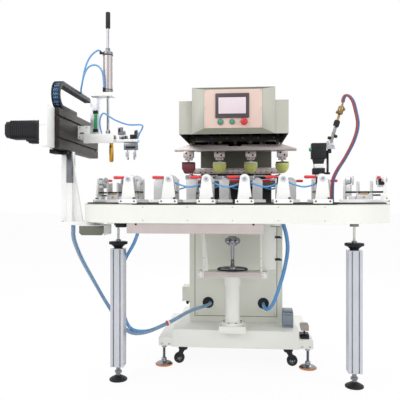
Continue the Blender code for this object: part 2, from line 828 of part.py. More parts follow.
def make_head():
    head = block("head_housing", span(0, HEAD_WIDTH), (HEAD_FRONT, HEAD_BACK), (HEAD_BOTTOM, HEAD_TOP))
    wings = block(
        "head_wings",
        span(0, WING_WIDTH),
        (HEAD_FRONT + OVERRUN, HEAD_BACK - OVERRUN),
        (HEAD_BOTTOM, WING_TOP),
        tool=True,
    )
    nose = block(
        "head_nose",
        span(0, HEAD_WIDTH),
        (PANEL_FRONT, HEAD_FRONT + OVERRUN),
        (HEAD_BOTTOM, HEAD_TOP),
        tool=True,
        front_share=PANEL_WIDTH / HEAD_WIDTH,
    )
    centre = (HEAD_BOTTOM + HEAD_TOP) / 2
    for vert in nose.data.vertices:
        if vert.co.y < 0:
            reach = PANEL_HIGH if vert.co.z > 0 else PANEL_LOW
            vert.co.z = reach - centre
    inner_low = HEAD_BOTTOM + HEAD_SHEET
    cavity = block(
        "head_cavity",
        span(0, HEAD_WIDTH - 2 * HEAD_SHEET),
        (HEAD_FRONT + HEAD_SHEET, HEAD_BACK - HEAD_SHEET),
        (inner_low, HEAD_TOP - HEAD_SHEET),
        tool=True,
    )
    wing_cavity = block(
        "head_wing_cavity",
        span(0, WING_WIDTH - 2 * HEAD_SHEET),
        (HEAD_FRONT + 2 * HEAD_SHEET, HEAD_BACK - 2 * HEAD_SHEET),
        (inner_low, WING_TOP - HEAD_SHEET),
        tool=True,
    )
    mouth = block(
        "head_mouth",
        span(0, WING_WIDTH - 2 * HEAD_SHEET),
        (HEAD_FRONT + 2 * HEAD_SHEET, HEAD_MOUTH_BACK),
        (HEAD_BOTTOM - OVERRUN, inner_low + OVERRUN),
        tool=True,
    )
    dress(cut(fused(head, nose, wings), cavity, wing_cavity, mouth), GREIGE)

    plate_back = PANEL_FRONT - SEAT_GAP
    plate_front = plate_back - PLATE_THICKNESS
    panel = block("control_panel", span(0, PANEL_WIDTH), (plate_front, plate_back), (PANEL_LOW, PANEL_HIGH))
    dress(panel, PINK)
    screen_back = plate_front - SEAT_GAP
    screen = block(
        "touch_screen",
        span(SCREEN_X, SCREEN_SIZE[0]),
        (screen_back - SCREEN_DEPTH, screen_back),
        span(SCREEN_Z, SCREEN_SIZE[1]),
    )
    dress(rounded(screen, SCREEN_DEPTH / 3), BLACK)
    make_buttons(plate_front)

    front = HEAD_FRONT + HEAD_SHEET + SEAT_GAP
    back = HEAD_BACK - HEAD_SHEET - SEAT_GAP
    reach = RAIL_X + 2 * RAIL_RADIUS
    height = span(RAIL_Z, 4 * RAIL_RADIUS)
    first = block("guide_rails", (-reach, reach), (front, front + RAIL_END), height)
    joins = [block("rail_end", (-reach, reach), (back - RAIL_END, back), height, tool=True)]
    for x in (-RAIL_X, RAIL_X):
        joins.append(
            rod(
                "rail",
                RAIL_RADIUS,
                (x, front + RAIL_END / 2, RAIL_Z),
                (x, back - RAIL_END / 2, RAIL_Z),
                tool=True,
            )
        )
    dress(fused(first, *joins), CHROME)


BUTTONS = (
    ("start_button", -70 * MM, 13 * MM, 14 * MM, GREEN),
    ("reset_button", -5 * MM, 11 * MM, 13 * MM, GREEN),
    ("emergency_stop", 61 * MM, 20 * MM, 30 * MM, RED),
)
BUTTON_TRAVEL = 5 * MM
COLLAR_SHARE = 0.55


def make_buttons(plate_front):
    """Each button stands off the panel by its travel, on a stem that enters its bore."""
    panel = bpy.data.objects["control_panel"]
    for name, x, radius, height, material in BUTTONS:
        centre = (x, plate_front, STOP_Z if material is RED else BUTTON_Z)
        stem = radius * COLLAR_SHARE
        stem_end = -PLATE_THICKNESS + SEAT_GAP
        gap = BUTTON_TRAVEL + SEAT_GAP
        profile = [
            (0, height),
            (radius * COLLAR_SHARE, height),
            (radius, height - PLATE_THICKNESS),
            (radius, gap),
            (stem, gap),
            (stem, stem_end),
            (0, stem_end),
        ]
        button = dress(turned(name, profile, centre, tilt=ACROSS), material)
        pivot(f"{name}_axis", centre, [button])
        bore = rod(
            f"{name}_bore",
            stem + RUNNING_GAP,
            (x, plate_front - OVERRUN, centre[2]),
            (x, PANEL_FRONT + OVERRUN, centre[2]),
            tool=True,
        )
        cut(panel, bore)
        deep = rod(
            f"{name}_deep_bore",
            stem + RUNNING_GAP,
            (x, PANEL_FRONT - OVERRUN, centre[2]),
            (x, PANEL_FRONT + 2 * OVERRUN + BUTTON_TRAVEL, centre[2]),
            tool=True,
        )
        cut(bpy.data.objects["head_housing"], deep)


def make_bed():
    bed_back = NECK_FRONT - SEAT_GAP
    bed = block("cliche_bed", span(0, BED_WIDTH), (BED_FRONT, bed_back), (BED_LOW, BED_HIGH))
    stand = block(
        "bed_pedestal",
        span(0, PEDESTAL_WIDTH),
        (PEDESTAL_FRONT, bed_back - OVERRUN),
        (CABINET_TOP + SEAT_GAP, BED_LOW + OVERRUN),
        tool=True,
    )
    riser = block(
        "bed_riser",
        span(0, PEDESTAL_WIDTH),
        (bed_back - BAR_PLATE[1] / 2, bed_back),
        (BED_HIGH - OVERRUN, BAR_PLATE_Z[0] + OVERRUN),
        tool=True,
    )
    bar = block(
        "bed_bar",
        span(0, BAR_PLATE[0]),
        (bed_back - BAR_PLATE[1], bed_back),
        BAR_PLATE_Z,
        tool=True,
    )
    dress(fused(bed, stand, riser, bar), WARM)


# Pad carriage
CARRIAGE_HALF = 300 * MM
CARRIAGE_DEPTH = 100 * MM
CARRIAGE_LOW = 1477 * MM
CARRIAGE_HIGH = 1505 * MM
BUSH_X = (-282 * MM, -98 * MM, 98 * MM, 282 * MM)
BUSH_RADIUS = 16 * MM
BUSH_DROP = 14 * MM
GUIDE_ROD_RADIUS = 9 * MM
GUIDE_ROD_TOP = 1625 * MM
PISTON_RADIUS = 7 * MM
CYLINDER_HALF = 30 * MM
CYLINDER_TOP = 1640 * MM
BEARING_HALF = 30 * MM
BEARING_TOP = 1572 * MM
BEAM_DEPTH = 50 * MM
BEAM_BOTTOM_HALF = 397 * MM
BEAM_TOP_HALF = 308 * MM
BEAM_END_Z = 1424 * MM
BEAM_NOTCH_HALF = 43 * MM
BEAM_NOTCH_DEPTH = 12 * MM
HOLDER_BLOCK = (68 * MM, 50 * MM, 41 * MM)
HOLDER_NECK = (50 * MM, 40 * MM, 17 * MM)
HOLDER_STEM_RADIUS = 6 * MM
BACKING_LOW = 1330 * MM
BACKING_HIGH = 1338 * MM
BACKING_RADIUS = 42 * MM
PAD_RADIUS = 44.5 * MM
PAD_BOTTOM = 1264 * MM
PAD_STEPS = 6
PAD_FLAT_SHARE = 0.3
CUBE_PAD = 84 * MM
CUBE_TAPER_SHARE = 0.62
CUP_Y = 835 * MM
CUP_RADIUS = 42 * MM
CUP_HEIGHT = 32 * MM
CUP_BAR = (690 * MM, 20 * MM, 10 * MM)


def pad_places():
    return [(step - 1.5) * PAD_PITCH for step in range(4)]


def make_carriage():
    plate = block(
        "carriage_plate",
        (-CARRIAGE_HALF, CARRIAGE_HALF),
        span(BEAM_Y, CARRIAGE_DEPTH),
        (CARRIAGE_LOW, CARRIAGE_HIGH),
    )
    joins = [
        block(
            "stroke_cylinder",
            (-CYLINDER_HALF, CYLINDER_HALF),
            span(BEAM_Y, 2 * CYLINDER_HALF),
            (CARRIAGE_HIGH - OVERRUN, CYLINDER_TOP),
            tool=True,
        )
    ]
    bores = [
        rod(
            "piston_bore",
            PISTON_RADIUS + RUNNING_GAP,
            (0, BEAM_Y, CARRIAGE_LOW - OVERRUN),
            (0, BEAM_Y, CYLINDER_TOP + OVERRUN),
            tool=True,
        )
    ]
    for x in BUSH_X:
        joins.append(
            rod(
                "bush",
                BUSH_RADIUS,
                (x, BEAM_Y, CARRIAGE_LOW - BUSH_DROP),
                (x, BEAM_Y, CARRIAGE_LOW + OVERRUN),
                tool=True,
            )
        )
        bores.append(
            rod(
                "bush_bore",
                GUIDE_ROD_RADIUS + RUNNING_GAP,
                (x, BEAM_Y, CARRIAGE_LOW - BUSH_DROP - OVERRUN),
                (x, BEAM_Y, CARRIAGE_HIGH + OVERRUN),
                tool=True,
            )
        )
    for x in (-RAIL_X, RAIL_X):
        joins.append(
            block(
                "bearing",
                span(x, 2 * BEARING_HALF),
                span(BEAM_Y, CARRIAGE_DEPTH - OVERRUN),
                (CARRIAGE_HIGH - OVERRUN, BEARING_TOP),
                tool=True,
            )
        )
        bores.append(
            rod(
                "bearing_bore",
                RAIL_RADIUS + RUNNING_GAP,
                (x, BEAM_Y - CARRIAGE_DEPTH, RAIL_Z),
                (x, BEAM_Y + CARRIAGE_DEPTH, RAIL_Z),
                tool=True,
            )
        )
    dress(cut(fused(plate, *joins), *bores), BLACK)
    carriage = pivot("pad_carriage_axis", (0, BEAM_Y, RAIL_Z), [plate])
    make_beam(carriage)
    make_cups()


def make_beam(carriage):
    notch_z = BEAM_HIGH - BEAM_NOTCH_DEPTH
    right = [
        (BEAM_BOTTOM_HALF, BEAM_LOW),
        (BEAM_BOTTOM_HALF, BEAM_END_Z),
        (BEAM_TOP_HALF, BEAM_HIGH),
        (BEAM_NOTCH_HALF, BEAM_HIGH),
        (BEAM_NOTCH_HALF, notch_z),
    ]
    outline = right + [(-x, z) for x, z in reversed(right)]
    beam = as_mesh(slab("pad_beam", [outline], BEAM_DEPTH, (0, BEAM_Y, 0), ACROSS))
    rods = []
    for x in BUSH_X:
        rods.append(
            rod(
                "beam_rod",
                GUIDE_ROD_RADIUS,
                (x, BEAM_Y, BEAM_HIGH - 2 * OVERRUN),
                (x, BEAM_Y, GUIDE_ROD_TOP),
                tool=True,
            )
        )
    rods.append(
        rod(
            "beam_piston",
            PISTON_RADIUS,
            (0, BEAM_Y, notch_z - OVERRUN),
            (0, BEAM_Y, CYLINDER_TOP),
            tool=True,
        )
    )
    block_low = BEAM_LOW - HOLDER_BLOCK[2]
    neck_low = block_low - HOLDER_NECK[2]
    pads = []
    for index, x in enumerate(pad_places()):
        rods += [
            block(
                "holder_block",
                span(x, HOLDER_BLOCK[0]),
                span(BEAM_Y, HOLDER_BLOCK[1] - OVERRUN),
                (block_low, BEAM_LOW + OVERRUN),
                tool=True,
            ),
            block(
                "holder_neck",
                span(x, HOLDER_NECK[0]),
                span(BEAM_Y, HOLDER_NECK[1]),
                (neck_low, block_low + OVERRUN),
                tool=True,
            ),
            rod(
                "holder_stem",
                HOLDER_STEM_RADIUS,
                (x, BEAM_Y, BACKING_HIGH - OVERRUN),
                (x, BEAM_Y, neck_low + OVERRUN),
                tool=True,
                sides=SMALL_SIDES,
            ),
            rod(
                "holder_backing",
                BACKING_RADIUS,
                (x, BEAM_Y, BACKING_LOW),
                (x, BEAM_Y, BACKING_HIGH),
                tool=True,
            ),
        ]
        pads.append(make_pad(x, index))
    dress(fused(beam, *rods), WARM)
    pivot("pad_stroke_axis", (0, BEAM_Y, BEAM_LOW), [beam, *pads], carriage)


def make_pad(x, index):
    """The first pad is a block with a tapered end; the others are round cups."""
    top = BACKING_LOW - SEAT_GAP
    name = f"printing_pad_{index + 1}"
    if not index:
        half = CUBE_PAD / 2
        taper = half * CUBE_TAPER_SHARE
        pad = block(
            name,
            (x - half, x + half),
            span(BEAM_Y, CUBE_PAD),
            (PAD_BOTTOM, top),
        )
        middle = (top + PAD_BOTTOM) / 2
        shape = bmesh.new()
        shape.from_mesh(pad.data)
        cut_z = PAD_BOTTOM + half - taper - middle
        plane = dict(plane_co=(0, 0, cut_z), plane_no=(0, 0, 1))
        bmesh.ops.bisect_plane(shape, geom=shape.verts[:] + shape.edges[:] + shape.faces[:], **plane)
        for vert in shape.verts:
            if vert.co.z < cut_z - MERGE:
                vert.co.x *= CUBE_TAPER_SHARE
                vert.co.y *= CUBE_TAPER_SHARE
        shape.to_mesh(pad.data)
        shape.free()
        return dress(pad, RED)
    depth = top - PAD_BOTTOM
    profile = [(0, top), (PAD_RADIUS, top)]
    for step in range(PAD_STEPS):
        angle = pi / 2 * step / PAD_STEPS
        radius = PAD_RADIUS * (PAD_FLAT_SHARE + (1 - PAD_FLAT_SHARE) * cos(angle))
        profile.append((radius, PAD_BOTTOM + depth * (1 - sin(angle)) * 3 / 4))
    profile += [(PAD_RADIUS * PAD_FLAT_SHARE, PAD_BOTTOM), (0, PAD_BOTTOM)]
    return dress(turned(name, profile, (x, BEAM_Y, 0)), LIME)


def make_cups():
    low = BED_HIGH + SEAT_GAP
    rim = CUP_HEIGHT / 4
    neck = CUP_RADIUS / 2
    profile = [
        (0, low + CUP_HEIGHT),
        (neck, low + CUP_HEIGHT),
        (neck, low + CUP_HEIGHT - rim),
        (CUP_RADIUS, low + CUP_HEIGHT - 2 * rim),
        (CUP_RADIUS, low),
        (0, low),
    ]
    bar = block(
        "ink_cups",
        span(0, CUP_BAR[0]),
        span(CUP_Y, CUP_BAR[1]),
        (low + CUP_HEIGHT - rim / 2, low + CUP_HEIGHT - rim / 2 + CUP_BAR[2]),
    )
    cups = [turned("ink_cup", profile, (x, CUP_Y, 0), tool=True, steps=FINE_SIDES) for x in pad_places()]
    dress(fused(bar, *cups), SILVER)
    pivot("ink_cups_axis", (0, CUP_Y, low), [bar])


# Conveyor
CHANNEL = (-570 * MM, 163 * MM)
CHANNEL_DEPTH = 160 * MM
CHANNEL_SETBACK = 4 * MM
CHANNEL_LOW = 910 * MM
PALLET_INNER = 83 * MM
PALLET_OUTER = 337 * MM
PALLET_LIP = 343 * MM
PALLET_WIDTH = 100 * MM
PALLET_THICKNESS = 18 * MM
PALLET_LIP_DROP = 4 * MM
JIG_OUTER = 330 * MM
JIG_INNER = 100 * MM
JIG_SUNK = 1 * MM  # how far a jig's pieces enter each other
JIG_PLATE = 12 * MM
JIG_HALF_WIDTH = 38.5 * MM
JIG_TOP_RADIUS = 25 * MM
JIG_INNER_HALF = 30 * MM
JIG_INNER_HIGH = 1212 * MM
JIG_ARC_STEPS = 6
CHUCK_RADIUS = 25 * MM
CHUCK_LENGTH = 30 * MM
CHUCK_Z = 1203 * MM
GUIDE_RADIUS = 5 * MM
GUIDE_T = 20 * MM
GUIDE_Z = 1135 * MM
LEVER_R = 300 * MM
LEVER_Z = 1182 * MM
LEVER_REACH = 31 * MM
LEVER_ARM = 7 * MM
LEVER_GRIP_RADIUS = 7 * MM
LEVER_GRIP = 62 * MM
LUG = 16 * MM
SPROCKET_RADIUS = 103 * MM
CHAIN_HALF = 8 * MM
SPROCKET_THICKNESS = 12 * MM
SPROCKET_DROP = 14 * MM
MOTOR_BOX = (150 * MM, 150 * MM, 70 * MM)
TROUGH_X = (-869 * MM, -726 * MM)
TROUGH_Y = (120 * MM, 285 * MM)
TROUGH_Z = (891 * MM, 944 * MM)


def make_conveyor():
    half = TRACK_HALF_STRAIGHT
    walls = [track_outline(TRACK_RADIUS), track_outline(TRACK_RADIUS - APRON_WALL)]
    dress(slab("conveyor_apron", walls, APRON_HIGH - APRON_LOW, (0, 0, (APRON_LOW + APRON_HIGH) / 2)), CREAM)
    deck_radius = TRACK_RADIUS - APRON_WALL - SEAT_GAP
    deck_z = APRON_HIGH - DECK_THICKNESS / 2
    dress(slab("conveyor_deck", [track_outline(deck_radius)], DECK_THICKNESS, (0, 0, deck_z)), SILVER)
    channel_front = APRON_WALL + CHANNEL_SETBACK
    channel_high = CROSS_LOW + OVERRUN - SEAT_GAP
    channel = block(
        "lower_channel",
        CHANNEL,
        (channel_front, channel_front + CHANNEL_DEPTH),
        (CHANNEL_LOW, channel_high),
    )
    hollow = block(
        "channel_hollow",
        (CHANNEL[0] - OVERRUN, CHANNEL[1] + OVERRUN),
        (channel_front + SHEET, channel_front + CHANNEL_DEPTH + OVERRUN),
        (CHANNEL_LOW + SHEET, channel_high - SHEET),
        tool=True,
    )
    dress(cut(channel, hollow), WARM)

    deck_under = APRON_HIGH - DECK_THICKNESS - SEAT_GAP
    chain_z = deck_under - SPROCKET_DROP - SPROCKET_THICKNESS / 2
    loops = [track_outline(CHAIN_RADIUS + CHAIN_HALF), track_outline(CHAIN_RADIUS - CHAIN_HALF)]
    drive = as_mesh(slab("chain_drive", loops, SPROCKET_THICKNESS - OVERRUN, (0, 0, chain_z)))
    joins = []
    for side in (-1, 1):
        x = side * half
        low, high = span(chain_z, SPROCKET_THICKNESS)
        joins.append(
            rod(
                "sprocket",
                SPROCKET_RADIUS,
                (x, TRACK_Y, low),
                (x, TRACK_Y, high),
                tool=True,
                sides=FINE_SIDES,
            )
        )
        shaft_low = deck_under - MOTOR_BOX[2]
        joins.append(
            rod("shaft", FOOT_HUB_RADIUS, (x, TRACK_Y, shaft_low), (x, TRACK_Y, deck_under), tool=True)
        )
    motor_high = chain_z - SPROCKET_THICKNESS
    joins.append(
        block(
            "drive_motor",
            span(-half, MOTOR_BOX[0]),
            span(TRACK_Y, MOTOR_BOX[1]),
            (motor_high - MOTOR_BOX[2], motor_high),
            tool=True,
        )
    )
    dress(fused(drive, *joins), OLIVE)


def jig_mesh():
    """One jig along +X: pallet, front lip, both uprights, chucks, guide rods and clamp lever."""
    low = APRON_HIGH + SEAT_GAP + BELT_THICKNESS - JIG_SUNK
    high = low + PALLET_THICKNESS
    foot = high - JIG_SUNK
    plate = [
        (PALLET_INNER, low),
        (PALLET_OUTER, low),
        (PALLET_OUTER, low - PALLET_LIP_DROP),
        (PALLET_LIP, low - PALLET_LIP_DROP),
        (PALLET_LIP, high),
        (PALLET_INNER, high),
    ]
    pallet = as_mesh(slab("jig", [plate], PALLET_WIDTH, turn=ACROSS))
    pieces = []

    centre = JIG_HEIGHT - JIG_TOP_RADIUS
    outline = [(JIG_HALF_WIDTH, foot)]
    for step in range(JIG_ARC_STEPS + 1):
        angle = pi * step / JIG_ARC_STEPS
        outline.append((JIG_TOP_RADIUS * cos(angle), centre + JIG_TOP_RADIUS * sin(angle)))
    outline.append((-JIG_HALF_WIDTH, foot))
    pieces.append(as_mesh(slab("upright", [outline], JIG_PLATE, (JIG_OUTER - JIG_PLATE / 2, 0, 0), ALONG)))
    inner_x = (JIG_INNER, JIG_INNER + JIG_PLATE)
    pieces.append(block("inner_upright", inner_x, (-JIG_INNER_HALF, JIG_INNER_HALF), (foot, JIG_INNER_HIGH)))

    near = JIG_INNER + JIG_PLATE - JIG_SUNK
    far = JIG_OUTER - JIG_PLATE + JIG_SUNK
    pieces.append(
        rod(
            "chuck",
            CHUCK_RADIUS - JIG_SUNK,
            (near, 0, CHUCK_Z),
            (near + CHUCK_LENGTH, 0, CHUCK_Z),
            sides=SMALL_SIDES,
        )
    )
    pieces.append(
        rod(
            "chuck",
            CHUCK_RADIUS - JIG_SUNK,
            (far - CHUCK_LENGTH, 0, CHUCK_Z),
            (far, 0, CHUCK_Z),
            sides=SMALL_SIDES,
        )
    )
    for side in (-1, 1):
        y = side * GUIDE_T
        pieces.append(
            rod("guide", GUIDE_RADIUS, (near, y, GUIDE_Z), (far, y, GUIDE_Z), sides=SMALL_SIDES // 2)
        )

    lug_x = (LEVER_R - LUG / 2, JIG_OUTER - JIG_PLATE / 2)
    edge = -JIG_TOP_RADIUS
    pieces.append(block("lever_lug", lug_x, (edge - LEVER_ARM, edge + LUG), span(LEVER_Z, LUG)))
    grip_z = LEVER_Z + LEVER_REACH
    arm_y = (edge - LEVER_ARM + JIG_SUNK / 2, edge - JIG_SUNK / 2)
    pieces.append(block("lever_arm", span(LEVER_R, LUG - JIG_SUNK), arm_y, (LEVER_Z, grip_z)))
    pieces.append(
        rod(
            "lever_grip",
            LEVER_GRIP_RADIUS,
            (LEVER_R, edge - LEVER_ARM / 2, grip_z),
            (LEVER_R, edge - LEVER_ARM - LEVER_GRIP, grip_z),
            sides=SMALL_SIDES,
        )
    )
    fused(pallet, *pieces)
    mesh = mesh_of(pallet)
    for piece in pieces:
        bpy.data.objects.remove(piece)
    return mesh


def make_jigs():
    """The belt of the conveyor with all its jigs, as one chain."""
    belt_z = APRON_HIGH + SEAT_GAP + BELT_THICKNESS / 2
    outlines = [track_outline(BELT_OUTER_RADIUS), track_outline(BELT_INNER_RADIUS)]
    belt = as_mesh(slab("jig_chain", outlines, BELT_THICKNESS, (0, 0, belt_z)))
    mesh = jig_mesh()
    jigs = [placed("jig", moved(mesh, station_matrix(station)), tool=True) for station in stations()]
    dress(fused(belt, *jigs), SILVER)


# Table lift: what joins the conveyor to the column and the stands
CROSS_BEAM = (60 * MM, 560 * MM)
CROSS_LOW = 1000 * MM
LONG_BEAM_AHEAD = 180 * MM
LONG_BEAM_BEHIND = 250 * MM
LONG_BEAM_Y = (TRACK_Y - LONG_BEAM_AHEAD, TRACK_Y + LONG_BEAM_BEHIND)
LONG_BEAM_WIDTH = 40 * MM
LONG_BEAM_HEIGHT = 22 * MM
FLANGE_Z = (935 * MM, 950 * MM)
FLANGE_RADIUS = 25 * MM
ROD_LOW = 700 * MM
YOKE_LEFT = -205 * MM
YOKE_RIGHT = 162 * MM
YOKE_PLATE = 12 * MM
YOKE_AHEAD = 60 * MM
YOKE_BEHIND = 57 * MM
YOKE_Y = (COLUMN_Y - YOKE_AHEAD, COLUMN_Y + YOKE_BEHIND)
BAR_LEFT = -235 * MM
BAR_RIGHT = 205 * MM
STAND_SLOT = (8 * MM, 9 * MM)
STAND_SLOT_AT = 20 * MM
STAND_WHEEL_RADIUS = 56 * MM
STAND_WHEEL_HIGH = 840 * MM
STAND_FOOT_RADIUS = 54 * MM


def make_lift():
    deck_under = APRON_HIGH - DECK_THICKNESS - SEAT_GAP
    middle = block(
        "lift_frame",
        (YOKE_LEFT, YOKE_RIGHT + YOKE_PLATE),
        YOKE_Y,
        (CROSS_LOW, deck_under),
    )
    joins = []
    for x in (YOKE_LEFT, YOKE_RIGHT):
        plate_z = (BAR_LOW + OVERRUN, CROSS_LOW + OVERRUN)
        joins.append(block("yoke_plate", (x, x + YOKE_PLATE), YOKE_Y, plate_z, tool=True))
    joins.append(block("yoke_bar", (BAR_LEFT, BAR_RIGHT), YOKE_Y, (BAR_LOW, BAR_HIGH), tool=True))
    sleeve_bore = COLUMN_FOOT_RADIUS + RUNNING_GAP
    joins.append(
        rod(
            "yoke_sleeve",
            sleeve_bore + SLEEVE_WALL,
            (COLUMN_X, COLUMN_Y, BAR_LOW - SLEEVE_LENGTH),
            (COLUMN_X, COLUMN_Y, BAR_LOW + OVERRUN),
            tool=True,
            sides=FINE_SIDES,
        )
    )
    cuts = [
        rod(
            "sleeve_bore",
            sleeve_bore,
            (COLUMN_X, COLUMN_Y, BAR_LOW - SLEEVE_LENGTH - OVERRUN),
            (COLUMN_X, COLUMN_Y, BAR_LOW),
            tool=True,
            sides=FINE_SIDES,
        ),
        rod(
            "bar_bore",
            SCREW_RADIUS + RUNNING_GAP,
            (COLUMN_X, COLUMN_Y, BAR_LOW - OVERRUN),
            (COLUMN_X, COLUMN_Y, BAR_HIGH + OVERRUN),
            tool=True,
        ),
    ]
    for side in (-1, 1):
        x = side * STAND_X
        beam_y = span(TRACK_Y, CROSS_BEAM[1])
        joins.append(block("cross_beam", span(x, CROSS_BEAM[0]), beam_y, (CROSS_LOW, deck_under), tool=True))
        rod_ends = [(x, TRACK_Y, z) for z in (ROD_LOW, CROSS_LOW + OVERRUN)]
        joins.append(rod("stand_rod", STAND_ROD_RADIUS, *rod_ends, tool=True))
        joins.append(
            rod("rod_flange", FLANGE_RADIUS, (x, TRACK_Y, FLANGE_Z[0]), (x, TRACK_Y, FLANGE_Z[1]), tool=True)
        )
    long_z = (CROSS_LOW + OVERRUN, CROSS_LOW + LONG_BEAM_HEIGHT)
    for y in LONG_BEAM_Y:
        joins.append(block("long_beam", span(0, 2 * STAND_X), span(y, LONG_BEAM_WIDTH), long_z, tool=True))
    dress(cut(fused(middle, *joins), *cuts), CREAM)


def profile_outline():
    """The square section with two slots in each face."""
    half = STAND_SIZE / 2
    face = []
    for at in (-STAND_SLOT_AT, STAND_SLOT_AT):
        low, high = span(at, STAND_SLOT[0])
        face += [(low, -half), (low, -half + STAND_SLOT[1]), (high, -half + STAND_SLOT[1]), (high, -half)]
    outline = []
    for side in range(4):
        angle = side * pi / 2
        for x, y in [(-half, -half)] + face:
            outline.append((x * cos(angle) - y * sin(angle), x * sin(angle) + y * cos(angle)))
    return outline


def round_outline(radius, sides=ROUND_SIDES):
    angles = [2 * pi * step / sides for step in range(sides)]
    return [(radius * cos(angle), radius * sin(angle)) for angle in angles]


def make_stands():
    bore = STAND_ROD_RADIUS + RUNNING_GAP
    for side, word in ((-1, "left"), (1, "right")):
        x = side * STAND_X
        centre_z = (STAND_LOW + STAND_HIGH) / 2
        post = slab(
            f"stand_profile_{word}",
            [profile_outline(), round_outline(bore)],
            STAND_HIGH - STAND_LOW,
            (x, TRACK_Y, centre_z),
        )
        dress(post, SILVER)
        profile = [
            (0, STAND_LOW - SEAT_GAP),
            (STAND_ROD_RADIUS * 2, STAND_LOW - SEAT_GAP),
            (STAND_ROD_RADIUS * 2, FOOT_DOME + FOOT_RIM),
            (FOOT_HUB_RADIUS, FOOT_DOME),
            (STAND_FOOT_RADIUS, FOOT_RIM),
            (STAND_FOOT_RADIUS, 0),
            (0, 0),
        ]
        dress(turned(f"stand_foot_{word}", profile, (x, TRACK_Y, 0)), BLACK)
        low = STAND_HIGH + SEAT_GAP
        rim = STAND_WHEEL_HIGH - low
        wheel_profile = [
            (bore, STAND_WHEEL_HIGH),
            (STAND_WHEEL_RADIUS - rim / 4, STAND_WHEEL_HIGH),
            (STAND_WHEEL_RADIUS, STAND_WHEEL_HIGH - rim / 8),
            (STAND_WHEEL_RADIUS, STAND_WHEEL_HIGH - rim / 4),
            (STAND_WHEEL_RADIUS / 2, STAND_WHEEL_HIGH - rim / 2),
            (FLANGE_RADIUS, low),
            (bore, low),
        ]
        wheel = turned(f"stand_handwheel_{word}", wheel_profile, (x, TRACK_Y, 0), steps=FINE_SIDES)
        dress(wheel, BLACK)
        pivot(f"stand_handwheel_{word}_axis", (x, TRACK_Y, low), [wheel])


# Loader
POST_X = (-1004 * MM, -942 * MM)
POST_Y = (210 * MM, 270 * MM)
POST_PLATE_X = (-1006 * MM, -800 * MM)
POST_PLATE_Y = (180 * MM, 390 * MM)
POST_PLATE_LOW = 945 * MM
GUSSET_RIGHT = -884 * MM
GUSSET_HIGH = 1350 * MM
GUSSET = 12 * MM
END_BOX_X = (-1010 * MM, -966 * MM)
END_BOX_FRONT = -110 * MM
MOTOR_LEFT = -1205 * MM
MOTOR_LOW = 1414 * MM
MOTOR_INSET = 6 * MM
MODULE_SLOT = (1425 * MM, 1545 * MM)
MODULE_SLOT_HEIGHT = 16 * MM
MODULE_SLOT_DEPTH = 10 * MM
CARRIAGE_X = (-939.4 * MM, -866 * MM)
CARRIAGE_Z = (1457 * MM, 1536 * MM)
CARRIAGE_HALF_Y = 40 * MM
COLUMN_SLIDE_X = (-867 * MM, -812 * MM)
COLUMN_SLIDE_LOW = 1440 * MM
BRACKET_TOP = 1738 * MM
BRACKET_LOW = 1716 * MM
BRACKET_RIGHT = -728 * MM
LIFT_RADIUS = 32 * MM
LIFT_TOP = 1987 * MM
LIFT_ROD_RADIUS = 8 * MM
LIFT_ROD_TOP = 2132 * MM
SLEEVE_TOP = 2229 * MM
SLEEVE_RADIUS = 14 * MM
ARM_X = (-800 * MM, -575 * MM)
ARM_Z = (1440 * MM, 1486 * MM)
ARM_HALF_Y = 25 * MM
BRASS_X = -743 * MM
BRASS_RADIUS = 13 * MM
BRASS_LOW = 1322 * MM
GRIPPER_X = -622 * MM
GRIPPER_HALF = 42 * MM
GRIPPER_Z = (1392 * MM, 1441 * MM)
JAW_X_GAP = 16 * MM
JAW = (14 * MM, 30 * MM)
JAW_LOW = 1334 * MM
CHAIN_CENTRE_X = -970 * MM
CHAIN_WIDTH = 46 * MM
CHAIN_THICK = 26 * MM
CHAIN_BEND = 68 * MM
CHAIN_FRONT = 96 * MM
CHAIN_LOWER_END = 330 * MM
CHAIN_UPPER_END = 640 * MM


def make_loader():
    plate_top = APRON_LOW - SEAT_GAP
    post = block("loader_post", POST_X, POST_Y, (POST_PLATE_LOW + OVERRUN, MODULE_LOW - SEAT_GAP))
    plate = block("post_plate", POST_PLATE_X, POST_PLATE_Y, (POST_PLATE_LOW, plate_top), tool=True)
    inset = POST_X[1] - OVERRUN
    outline = [(inset, plate_top - OVERRUN), (GUSSET_RIGHT, plate_top - OVERRUN), (inset, GUSSET_HIGH)]
    gusset_y = (POST_Y[0] + POST_Y[1]) / 2
    gusset = as_mesh(slab("post_gusset", [outline], GUSSET, (0, gusset_y, 0), ACROSS, tool=True), tool=True)
    trough_z = (TROUGH_Z[0], POST_PLATE_LOW + OVERRUN / 2)
    trough = block("cable_trough", TROUGH_X, TROUGH_Y, trough_z, tool=True)
    dress(fused(post, plate, gusset, trough), WHITE)

    module_z = (MODULE_LOW, MODULE_HIGH)
    module = block("slide_module", (MODULE_LEFT, MODULE_RIGHT), (SEAT_GAP, MODULE_LENGTH), module_z)
    slots = [
        block(
            "module_slot",
            (MODULE_RIGHT - MODULE_SLOT_DEPTH, MODULE_RIGHT + OVERRUN),
            (POST_Y[0] / 4, MODULE_LENGTH - POST_Y[0] / 4),
            span(z, MODULE_SLOT_HEIGHT),
            tool=True,
        )
        for z in MODULE_SLOT
    ]
    dress(cut(module, *slots), OLIVE)
    end_box = block("module_end", END_BOX_X, (END_BOX_FRONT, 0), (MODULE_LOW, MODULE_HIGH))
    dress(rounded(end_box, MOTOR_INSET / 2), WHITE)
    motor_side = -END_BOX_FRONT - 2 * MOTOR_INSET
    motor = block(
        "servo_motor",
        (MOTOR_LEFT, END_BOX_X[0] - SEAT_GAP),
        (END_BOX_FRONT + MOTOR_INSET, -MOTOR_INSET),
        (MOTOR_LOW, MOTOR_LOW + motor_side),
    )
    dress(rounded(motor, MOTOR_INSET), BLACK)
    make_loader_carriage()


